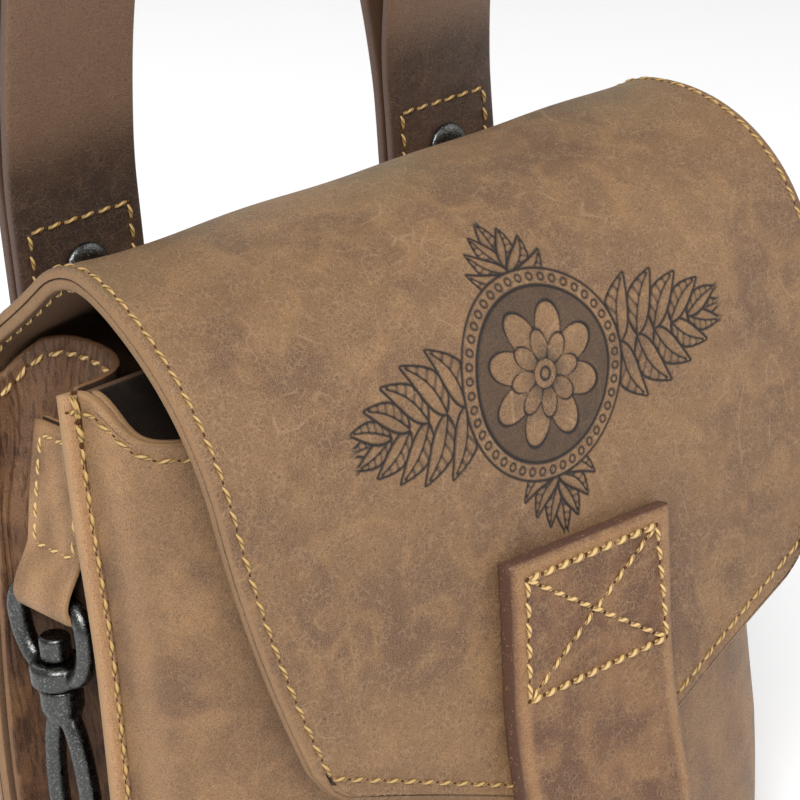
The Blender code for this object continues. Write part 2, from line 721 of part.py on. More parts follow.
def make_hook(name, side, material):
    """Swivel post with its head, barrel and closed hook, in one piece."""
    x = -side * eye_x()
    head_foot = COLLAR_TOP + METAL_PLAY
    shoulder = COLLAR_BOTTOM - METAL_PLAY
    profile = (
        (0, head_foot + POST_HEAD_TALL),
        (POST_HEAD_RADIUS - POST_HEAD_CHAMFER, head_foot + POST_HEAD_TALL),
        (POST_HEAD_RADIUS, head_foot + POST_HEAD_TALL - POST_HEAD_CHAMFER),
        (POST_HEAD_RADIUS, head_foot),
        (POST_RADIUS, head_foot),
        (POST_RADIUS, shoulder),
        (BARREL_RADIUS, shoulder),
        (BARREL_RADIUS, shoulder - BARREL_TALL + BARREL_TAPER_TALL),
        (BARREL_END_RADIUS, shoulder - BARREL_TALL),
        (0, shoulder - BARREL_TALL),
    )
    hook = make_turned(name, profile, 12, (0, 0, 1), Vector((x, EYE_Y, 0)), material)
    half = HOOK_WIDTH / 2 - HOOK_WIRE_RADIUS
    top_half = HOOK_TOP_WIDTH / 2 - HOOK_WIRE_RADIUS
    top = shoulder - BARREL_TALL + HOOK_SINK
    bottom = top - HOOK_TALL + HOOK_WIRE_RADIUS
    steps = 20
    path = []
    for step in range(steps):
        angle = math.tau * step / steps
        drop = (1 - math.cos(angle)) / 2
        reach = top_half + (half - top_half) * drop
        y = EYE_Y + reach * signed_power(math.sin(angle), HOOK_ROUNDNESS)
        path.append(Vector((x, y, top + (bottom - top) * drop)))
    ring = make_wire("ring", path, HOOK_WIRE_RADIUS, 8, True, material)
    combine(hook, ring, "UNION")
    move_origin(hook, Vector((x, EYE_Y, COLLAR_BOTTOM)))
    return hook


def strap_path():
    """Middle line of the closing strap, as (y, z): on the flap, then in to the pocket."""
    offset = GAP + STRAP_THICKNESS / 2
    leave = FLAP_TIP_AT + STRAP_LEAVE
    path = []
    steps = 8
    for step in range(steps + 1):
        along = STRAP_TOP_AT + (leave - STRAP_TOP_AT) * step / steps
        path.append(flap_point(along, offset))
    leave_y, leave_z = path[-1]
    rest_z = STUD_HEIGHT + STUD_CAP_RADIUS
    rest_y = SEAM_Y - max(pocket_depths(STRAP_END_HEIGHT, rest_z)) - offset - GAP
    slope = 1 / math.tan(FRONT_TURN)
    drop = leave_z - rest_z
    for step in range(1, 8):
        t = step / 7
        bend = (t**3 - 2 * t**2 + t) * -slope * drop
        y = leave_y + (rest_y - leave_y) * smoothstep(t) + bend
        path.append((y, leave_z - drop * t))
    path.append((rest_y, STUD_HEIGHT))
    path.append((rest_y, STRAP_END_HEIGHT))
    return path


def make_strap(material):
    """Thick closing strap, with its hole for the stud."""
    columns = 2
    rows = []
    for y, z in strap_path():
        spots = [STRAP_WIDTH * (step / columns - 0.5) for step in range(columns + 1)]
        rows.append([Vector((x, y, z)) for x in spots])
    strap = make_sheet("closing_strap", rows, STRAP_THICKNESS, material)
    hole = Vector((0, strap_path()[-1][0], STUD_HEIGHT))
    drill(strap, hole, STUD_POST_RADIUS + METAL_PLAY, 3 * STRAP_THICKNESS)
    return strap


def make_stud(material):
    """Stud on the pocket: a foot inside, a post through both leathers and a domed cap."""
    wall = pocket_depths(STUD_HEIGHT - STUD_FOOT_RADIUS, STUD_HEIGHT + STUD_FOOT_RADIUS)
    foot_top = SEAM_Y - min(wall) + POCKET_LEATHER + 2 * GAP
    strap_front = strap_path()[-1][0] - STRAP_THICKNESS / 2
    cap_foot = strap_front - METAL_PLAY
    foot_end = foot_top + STUD_FOOT_THICKNESS
    profile = [
        (0, foot_end),
        (STUD_FOOT_RADIUS, foot_end),
        (STUD_FOOT_RADIUS, foot_top),
        (STUD_POST_RADIUS, foot_top),
        (STUD_POST_RADIUS, cap_foot),
    ]
    profile += dome_profile(STUD_CAP_RADIUS, STUD_CAP_TALL, cap_foot, -1)
    centre = Vector((0, 0, STUD_HEIGHT))
    return make_turned("strap_stud", profile, 16, (0, 1, 0), centre, material)


def dome_profile(radius, tall, foot, direction):
    """(radius, height) pairs of a domed cap with a straight rim."""
    rim = tall * DOME_RIM_SHARE
    points = [(radius, foot), (radius, foot + direction * rim)]
    for step in range(1, 3):
        angle = math.pi / 2 * step / 3
        height = foot + direction * (rim + (tall - rim) * math.sin(angle))
        points.append((radius * math.cos(angle), height))
    points.append((0, foot + direction * tall))
    return points


def loop_path():
    """Middle line of a belt loop, as (y, z): up the front leg, over the top and down behind."""
    top_radius = LOOP_BULGE / 2 - LOOP_LEATHER / 2
    apex = LOOP_THROAT_HEIGHT + LOOP_THROAT_LENGTH
    centre = apex + LOOP_OPENING - top_radius
    tangent = math.asin((top_radius - LOOP_HALF_STACK) / (centre - apex))
    front = [(LOOP_HALF_STACK, LOOP_FOOT_HEIGHT)]
    front.append((LOOP_HALF_STACK, (LOOP_FOOT_HEIGHT + LOOP_THROAT_HEIGHT) / 2))
    front.append((LOOP_HALF_STACK, LOOP_THROAT_HEIGHT))
    end = (top_radius * math.cos(tangent), centre - top_radius * math.sin(tangent))
    for step in range(1, 9):
        share = step / 9
        height = LOOP_THROAT_HEIGHT + (end[1] - LOOP_THROAT_HEIGHT) * share
        spread = (end[0] - LOOP_HALF_STACK) * share**LOOP_SPREAD_POWER
        front.append((LOOP_HALF_STACK + spread, height))
    for step in range(7):
        angle = -tangent + (math.pi / 2 + tangent) * step / 7
        front.append((top_radius * math.cos(angle), centre + top_radius * math.sin(angle)))
    back = [(-gap, height) for gap, height in reversed(front)]
    line = front + [(0.0, centre + top_radius)] + back
    return [(LOOP_MID_Y - gap, height) for gap, height in line]


def make_loop(name, side, material):
    """Belt loop: one strip whose two legs are clamped together behind the flap."""
    middle = side * LOOP_SPACING / 2
    rows = []
    for y, z in loop_path():
        edges = (middle - LOOP_WIDTH / 2, middle + LOOP_WIDTH / 2)
        rows.append([Vector((x, y, z)) for x in edges])
    loop = make_sheet(name, rows, LOOP_LEATHER, material)
    hole = Vector((middle, LOOP_MID_Y, RIVET_HEIGHT))
    drill(loop, hole, RIVET_SHAFT_RADIUS + METAL_PLAY, 6 * LOOP_LEATHER, 12)
    return loop


def make_rivet(name, side, material):
    """Rivet through both legs of a belt loop, with a domed cap on each side."""
    reach = LOOP_HALF_STACK + LOOP_LEATHER / 2 + METAL_PLAY
    front = dome_profile(RIVET_CAP_RADIUS, RIVET_CAP_TALL, -reach, -1)
    rear = dome_profile(RIVET_CAP_RADIUS, RIVET_CAP_TALL, reach, 1)
    shaft = [(RIVET_SHAFT_RADIUS, -reach), (RIVET_SHAFT_RADIUS, reach)]
    profile = list(reversed(front)) + shaft + rear
    centre = Vector((side * LOOP_SPACING / 2, LOOP_MID_Y, RIVET_HEIGHT))
    return make_turned(name, profile, 12, (0, 1, 0), centre, material)


def build():
    """Make every piece of the bag."""
    clear_scene()
    tan = make_material("tan_leather", (0.30, 0.18, 0.095), 0.62)
    lining = make_material("lining_leather", (0.34, 0.21, 0.12), 0.70)
    brown = make_material("brown_leather", (0.17, 0.085, 0.045), 0.60)
    dark = make_material("dark_leather", (0.10, 0.050, 0.028), 0.55)
    metal = make_material("antique_metal", (0.16, 0.155, 0.15), 0.38, 1.0)

    make_flap("flap_outer", -FLAP_LEATHER / 2, FLAP_LEATHER, tan)
    make_flap("flap_lining", LINING_OFFSET, LINING_LEATHER, lining)
    make_pocket(tan)
    make_facing(lining)
    make_divider(brown)
    make_base(brown)
    make_strap(dark)
    make_stud(metal)
    for word, side in (("left", -1), ("right", 1)):
        make_gusset("gusset_" + word, side, brown)
        make_tab("tab_" + word, side, tan)
        make_eye("hook_eye_" + word, side, metal)
        make_hook("hook_" + word, side, metal)
        make_loop("belt_loop_" + word, side, dark)
        make_rivet("rivet_" + word, side, metal)


build()
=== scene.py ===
"""Looks of a leather belt bag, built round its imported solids.

Every leather piece is cut as a flat slab, its rim is rounded, and it is then bent onto the surface
that its solid has. Lengths are in metres. In every surface, a and b are flat places across and
along a piece, and c is the offset along its normal. A dress function gives the burn and the patina
of flat places, both from 0 to 1.
"""

import json
import logging
import math
from collections.abc import Callable
from dataclasses import dataclass, field
from enum import Enum
from functools import cache

import bmesh
import bpy
import numpy as np
from bmesh.types import BMesh, BMFace, BMVert
from bpy.types import ID, Material, Mesh, Node, NodeSocket, NodeTree, Object
from mathutils import Matrix, Vector

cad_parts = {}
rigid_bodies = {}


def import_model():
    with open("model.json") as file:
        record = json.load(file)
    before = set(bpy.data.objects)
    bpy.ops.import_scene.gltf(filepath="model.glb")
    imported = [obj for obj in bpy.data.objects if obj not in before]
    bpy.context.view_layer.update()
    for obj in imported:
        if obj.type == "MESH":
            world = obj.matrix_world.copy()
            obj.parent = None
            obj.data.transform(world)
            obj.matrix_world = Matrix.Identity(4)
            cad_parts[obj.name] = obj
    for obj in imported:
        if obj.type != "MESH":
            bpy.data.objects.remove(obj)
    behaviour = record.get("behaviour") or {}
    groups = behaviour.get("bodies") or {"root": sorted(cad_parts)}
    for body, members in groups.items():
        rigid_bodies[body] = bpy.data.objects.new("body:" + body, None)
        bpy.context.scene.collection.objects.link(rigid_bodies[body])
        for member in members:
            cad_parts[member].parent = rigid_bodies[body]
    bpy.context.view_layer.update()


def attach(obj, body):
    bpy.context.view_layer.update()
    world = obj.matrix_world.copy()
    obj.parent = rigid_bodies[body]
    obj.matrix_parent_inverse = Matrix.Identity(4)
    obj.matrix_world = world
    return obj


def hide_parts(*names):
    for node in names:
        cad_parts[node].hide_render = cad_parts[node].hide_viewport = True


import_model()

LOG = logging.getLogger("belt_bag")
MM = 0.001
WEAR = "wear"
TWIST_UV = "twist"
TWIST_TURNS = 1.75

Array = np.ndarray
Middle = Callable[[Array, Array], Array]
Surface = Callable[[Array, Array, Array], Array]
FlatMap = Callable[[Array, Array], tuple[Array, Array]]
Colour = tuple[float, float, float, float]
Table = tuple[tuple[float, ...], ...]
Route = list[tuple[float, float]]
Profile = list[tuple[float, float]]

# Camera of the photograph, in the bag's own frame
CAMERA_AT = (-333.51 * MM, -383.83 * MM, 333.18 * MM)
CAMERA_LOOK = (0.60213, 0.70509, -0.37454)
CAMERA_UP = (0.30098, 0.23404, 0.92447)
CAMERA_LENS = 124.214
SENSOR_WIDTH = 36.0

# Saddle stitch, about six to the inch
STITCH_PITCH = 4.37 * MM
THREAD_WIDTH = 0.8 * MM

# Radians between the faces at a rim
RIM_ANGLE = 1.0


class Side(Enum):
    """Side of the bag, as seen from its front."""

    LEFT = -1
    RIGHT = 1

    @property
    def word(self) -> str:
        """Name of the side, as the nodes write it."""
        return self.name.lower()


def linear(hex_colour: str) -> Colour:
    """Turn an sRGB hex colour into linear red, green, blue and alpha.

    Args:
        hex_colour: Six hex digits.

    Returns:
        Linear channels and an alpha of 1.
    """
    channels = [int(hex_colour[start:start + 2], 16) / 255 for start in (0, 2, 4)]
    curve = [c / 12.92 if c <= 0.04045 else ((c + 0.055) / 1.055) ** 2.4 for c in channels]
    return (curve[0], curve[1], curve[2], 1.0)


def set_inputs(node: Node, inputs: dict[str | int, object]) -> None:
    """Give a node's inputs their values, or link them to other nodes' sockets.

    Args:
        node: Node of a material's tree.
        inputs: Socket names or numbers, each with a value or a socket to link.
    """
    for key, value in inputs.items():
        if isinstance(value, NodeSocket):
            node.id_data.links.new(value, node.inputs[key])
        else:
            node.inputs[key].default_value = value


def add_node(
    tree: NodeTree, kind: str, inputs: dict[str | int, object] | None = None, **settings: object
) -> Node:
    """Add a node to a tree, with its inputs and its settings.

    Args:
        tree: Node tree that gets the node.
        kind: Type name of the node, without its start, ShaderNode.
        inputs: Socket names or numbers, each with a value or a socket to link.
        settings: Values of the node's attributes.

    Returns:
        The new node.
    """
    node = tree.nodes.new(f"ShaderNode{kind}")
    for key, value in settings.items():
        setattr(node, key, value)
    set_inputs(node, inputs or {})
    return node


def new_material(name: str) -> tuple[Material, NodeTree, Node]:
    """Make a material that is drawn by nodes.

    Args:
        name: Name of the real material and how it was made.

    Returns:
        The material, its node tree and its surface shader.
    """
    material = bpy.data.materials.new(name)
    material.use_nodes = True
    tree = material.node_tree
    return material, tree, tree.nodes["Principled BSDF"]


def placed(name: str, data: ID) -> Object:
    """Make an object and link it to the scene.

    Args:
        name: Name of the object.
        data: Mesh, curve, light or camera that it holds.

    Returns:
        The new object.
    """
    thing = bpy.data.objects.new(name, data)
    bpy.context.scene.collection.objects.link(thing)
    return thing


def as_mesh(bm: BMesh, name: str) -> Mesh:
    """Turn a bmesh into a mesh.

    Args:
        bm: Bmesh, which is freed.
        name: Name of the mesh.

    Returns:
        The new mesh.
    """
    mesh = bpy.data.meshes.new(name)
    bm.to_mesh(mesh)
    bm.free()
    return mesh


def as_shown(holder: Object) -> Mesh:
    """Take an object's mesh as it is shown.

    Args:
        holder: Curve, or mesh with modifiers, which is removed.

    Returns:
        The new mesh.
    """
    shown = holder.evaluated_get(bpy.context.evaluated_depsgraph_get())
    mesh = bpy.data.meshes.new_from_object(shown)
    bpy.data.batch_remove((holder, holder.data))
    return mesh


def thicken(bm: BMesh, faces: list[BMFace], height: float) -> None:
    """Raise flat faces into a closed solid.

    Args:
        bm: Bmesh that holds the faces.
        faces: Flat faces at height 0.
        height: Height of the solid.
    """
    raised = bmesh.ops.extrude_face_region(bm, geom=faces)
    lifted = [item for item in raised["geom"] if isinstance(item, BMVert)]
    bmesh.ops.translate(bm, verts=lifted, vec=(0, 0, height))
    bmesh.ops.recalc_face_normals(bm, faces=bm.faces[:])


def spun(bm: BMesh, profile: Profile, axis: tuple[int, int, int], steps: int) -> None:
    """Spin a profile round an axis through the origin, and add it to a bmesh.

    Args:
        bm: Bmesh that gets the turned shape.
        profile: Pairs of a radius and a place along the axis.
        axis: Direction of the axis, along Y or Z.
        steps: Number of facets round the axis.
    """
    points = [bm.verts.new(Vector((radius, 0, 0)) + place * Vector(axis)) for radius, place in profile]
    edges = [bm.edges.new(pair) for pair in zip(points, points[1:])]
    bmesh.ops.spin(
        bm, geom=points + edges, cent=(0, 0, 0), axis=axis, angle=math.tau, steps=steps, use_merge=True,
    )
    bmesh.ops.remove_doubles(bm, verts=bm.verts[:], dist=0.005 * MM)


def run_lengths(points: Array) -> Array:
    """Lengths along a polyline, up to each of its points."""
    steps = np.linalg.norm(np.diff(points, axis=0), axis=1)
    return np.concatenate([[0.0], np.cumsum(steps)])


def smoothstep(share: Array) -> Array:
    """Ease from 0 to 1."""
    share = np.clip(share, 0.0, 1.0)
    return share * share * (3 - 2 * share)


def bell(distance: Array, width: float) -> Array:
    """Bell curve that is 1 at no distance."""
    return np.exp(-((distance / width) ** 2))


def signed_power(value: Array, exponent: Array | float) -> Array:
    """Power that keeps the sign of its base."""
    return np.sign(value) * np.abs(value) ** exponent


def read_table(table: Table, share: Array, column: int) -> Array:
    """Read a column on a smooth curve through a table's rows.

    Args:
        table: Rows that start with their share.
        share: Shares to read at.
        column: Column to read.

    Returns:
        The column's value at each share.
    """
    keys = np.array([row[0] for row in table])
    values = np.array([row[column] for row in table])
    rows = np.arange(len(keys))
    low = np.maximum(rows - 1, 0)
    high = np.minimum(rows + 1, len(keys) - 1)
    slopes = (values[high] - values[low]) / (keys[high] - keys[low])
    share = np.clip(share, keys[0], keys[-1])
    row = np.clip(np.searchsorted(keys, share) - 1, 0, len(keys) - 2)
    span = keys[row + 1] - keys[row]
    t = (share - keys[row]) / span
    return (
        (2 * t**3 - 3 * t**2 + 1) * values[row] + (t**3 - 2 * t**2 + t) * span * slopes[row]
        + (3 * t**2 - 2 * t**3) * values[row + 1] + (t**3 - t**2) * span * slopes[row + 1]
    )


def stepped(start: float, end: float, step: float) -> list[float]:
    """Places from start to end, no further apart than a step."""
    count = max(1, math.ceil(abs(end - start) / step))
    return [start + (end - start) * index / count for index in range(count + 1)]


def edged(half: float, margin: float, step: float) -> list[float]:
    """Places across a piece, with a narrow column at each edge for its rounded rim."""
    return [-half, *stepped(-half + margin, half - margin, step), half]


def blurred(plan: Callable[[Array], Array], a: Array, radius: float) -> Array:
    """Mean of a plan's points within a radius along it, which rounds its corners."""
    shares = (-1.0, -0.5, 0.0, 0.5, 1.0)
    return sum(plan(a + share * radius) for share in shares) / len(shares)


def ripple(across: Array, along: Array, width: float, length: float, seed: int) -> Array:
    """Smooth random folds that are longer one way than the other.

    Args:
        across: Places across the folds.
        along: Places along them.
        width: Usual width of a fold.
        length: Usual length of a fold.
        seed: Number that picks the pattern.

    Returns:
        Heights from about -1 to 1.
    """
    chance = np.random.default_rng(seed)
    total = np.zeros_like(across)
    waves = 9
    for _ in range(waves):
        turn = chance.uniform(0.6, 1.5) * math.tau / width
        drift = chance.uniform(-1.0, 1.0) * math.tau / length
        total += np.sin(turn * across + drift * along + chance.uniform(0, math.tau))
    return total / math.sqrt(waves)


def hang(along: Array, line: Array) -> tuple[Array, Array]:
    """Find points by their lengths along a polyline, which goes straight on past its ends.

    Args:
        along: Lengths from the line's start.
        line: Corners of the line, as (y, z) or (x, z).

    Returns:
        Places and heights.
    """
    lengths = run_lengths(line)
    y = np.interp(along, lengths, line[:, 0])
    z = np.interp(along, lengths, line[:, 1])
    past = np.clip(along - lengths[-1], 0.0, None) + np.clip(along, None, 0.0)
    ends = np.where(past[:, None] < 0, line[1] - line[0], line[-1] - line[-2])
    ends = ends / np.linalg.norm(ends, axis=1, keepdims=True)
    return y + past * ends[:, 0], z + past * ends[:, 1]


def offset_from(middle: Middle, outward: float = 1.0) -> Surface:
    """Make a surface that stands off a middle surface along its normal.

    Args:
        middle: Middle surface, from flat places to points.
        outward: 1 or -1, which turns the normal round.

    Returns:
        A surface that takes an offset too.
    """
    step = 0.05 * MM

    def surface(a: Array, b: Array, c: Array) -> Array:
        """Point at a flat place, moved along the normal there."""
        across = middle(a + step, b) - middle(a - step, b)
        along = middle(a, b + step) - middle(a, b - step)
        normal = np.cross(across, along)
        normal /= np.maximum(np.linalg.norm(normal, axis=1, keepdims=True), 1e-12)
        return middle(a, b) + outward * normal * c[:, None]

    return surface


@dataclass
class BagForm:
    """Sizes and surfaces that the leather shares with the solids.

    The derived arcs, runs and turns are lengths of leather, and tip_at, back_turns and back_length
    count from the flap's ridge.
    """

    seam_span: float = 158.6 * MM
    seam_height: float = 154.5 * MM
    body_depth: float = 82.0 * MM
    rear_depth: float = 39.3 * MM
    base_thickness: float = 2.7 * MM
    gap: float = 0.3 * MM
    leather: float = 2.4 * MM
    ridge_rise: float = 20.5 * MM
    ridge_setback: float = 37.3 * MM
    front_radius: float = 40.2 * MM
    front_turn: float = math.radians(84)
    ridge_radius: float = 21.0 * MM
    back_slope: float = math.radians(34)
    back_radius: float = 18.0 * MM
    ridge_width: float = 153.5 * MM
    back_width: float = 169.0 * MM
    back_flare_height: float = 62.0 * MM
    widest: float = 158.7 * MM
    widest_at: float = 35.3 * MM
    tip_height: float = 51.7 * MM
    point_depth: float = 30.0 * MM
    point_half_width: float = 65.6 * MM
    corner_round: float = 6.0 * MM
    waist: Table = (
        (3.0, 0.0), (60.0, 0.4), (85.0, 0.9), (101.0, 1.1), (114.0, 0.8), (127.0, 0.3), (141.0, 0.0),
    )

    def __post_init__(self) -> None:
        """Work out the places and lengths that follow from the sizes."""
        self.half_span = self.seam_span / 2
        self.back_y = self.body_depth / 2
        self.seam_y = self.back_y - self.rear_depth
        self.wall_foot = self.base_thickness + self.gap
        self.ridge_y = self.back_y - self.ridge_setback
        self.ridge_height = self.seam_height + self.ridge_rise
        self.layers = 2 * self.leather + self.gap
        self.point_lean = self.point_depth / self.point_half_width
        self.front_arc = self.front_radius * self.front_turn
        arc_end = self.ridge_height - self.front_radius * (1 - math.cos(self.front_turn))
        self.tip_at = self.front_arc + (arc_end - self.tip_height) / math.sin(self.front_turn)
        turned = self.ridge_radius * math.sin(self.back_slope)
        turned += self.back_radius * (1 - math.sin(self.back_slope))
        self.back_run = (self.ridge_setback - turned) / math.cos(self.back_slope)
        self.back_turns = self.ridge_radius * self.back_slope + self.back_run
        self.back_turns += self.back_radius * (math.pi / 2 - self.back_slope)
        upright = np.array([-self.back_turns])
        upright_height = float(self.section(upright, 0 * upright)[1][0])
        self.back_length = self.back_turns + upright_height - self.wall_foot

    def seam_pull(self, height: Array) -> Array:
        """Inward sway of the side seams, which are a little hollow at mid height."""
        return MM * read_table(self.waist, height / MM, 1)

    def section(self, along: Array, offset: Array) -> tuple[Array, Array]:
        """Point of the flap seen from the side, as (y, z).

        Args:
            along: Length from the ridge, positive down the front.
            offset: Outwards from the outer face.

        Returns:
            Places and heights.
        """
        y = np.full_like(along, self.ridge_y)
        z = np.full_like(along, self.ridge_height)
        angle = np.zeros_like(along)
        lower_arc = self.back_radius * (math.pi / 2 - self.back_slope)
        front = ((self.front_radius, self.front_arc), (None, math.inf))
        back = (
            (self.ridge_radius, self.ridge_radius * self.back_slope),
            (None, self.back_run),
            (self.back_radius, lower_arc),
            (None, math.inf),
        )
        for way, legs in ((-1, front), (1, back)):
            left = np.maximum(-way * along, 0.0)
            start = 0.0
            for radius, length in legs:
                run = np.minimum(left, length)
                left = left - run
                if radius is None:
                    y += way * run * math.cos(start)
                    z -= run * math.sin(start)
                    continue
                turned = start + run / radius
                y += way * radius * (np.sin(turned) - math.sin(start))
                z -= radius * (math.cos(start) - np.cos(turned))
                angle = np.where(run > 0, turned, angle)
                start += length / radius
        return y - np.sign(along) * offset * np.sin(angle), z + offset * np.cos(angle)

    def back_half_width(self, height: Array) -> Array:
        """Half width of the back at a height."""
        share = (self.ridge_height - height) / (self.ridge_height - self.back_flare_height)
        return (self.ridge_width + (self.back_width - self.ridge_width) * smoothstep(share)) / 2

    def half_width(self, along: Array) -> Array:
        """Half width of the flap and the back at a length from the ridge."""
        away = (along - self.widest_at) / self.widest_at
        front = self.widest / 2 - (self.widest - self.ridge_width) / 2 * away**2
        back = self.back_half_width(self.section(along, 0 * along)[1])
        return np.where(along <= 0, back, front)

    def flap_end(self, share: Array) -> Array:
        """Find the lower edge, which comes to a point in the middle.

        Args:
            share: Places across, as shares of the half width.

        Returns:
            Lengths from the ridge.
        """
        share = np.minimum(np.abs(share), 1.0)
        end = self.tip_at - self.point_depth * share
        rounding = self.corner_round / (self.ridge_width / 2)
        into = np.maximum(share - 1 + rounding, 0.0) / rounding
        return end - self.corner_round * (1 - np.sqrt(np.maximum(1 - into**2, 0.0)))

    def flap_inner_y(self, height: Array) -> Array:
        """Find the inner face of the flap's front.

        Args:
            height: Heights above the ground.

        Returns:
            The face's Y.
        """
        radius = self.front_radius - self.layers
        centre = self.ridge_height - self.front_radius
        end_height = centre + radius * math.cos(self.front_turn)
        rise = np.clip(height - centre, 0.0, radius)
        round_y = self.ridge_y - np.sqrt(radius**2 - rise**2)
        end_y = self.ridge_y - radius * math.sin(self.front_turn)
        straight_y = end_y - (end_height - height) / math.tan(self.front_turn)
        return np.where(height > end_height, round_y, straight_y)

    def flap_inner_height(self, y: Array) -> Array:
        """Height of the flap's inner face above a place behind the ridge."""
        along = -np.linspace(0, self.back_turns, 200)
        inner_y, inner_z = self.section(along, 0 * along - self.layers)
        return np.interp(y, inner_y, inner_z)


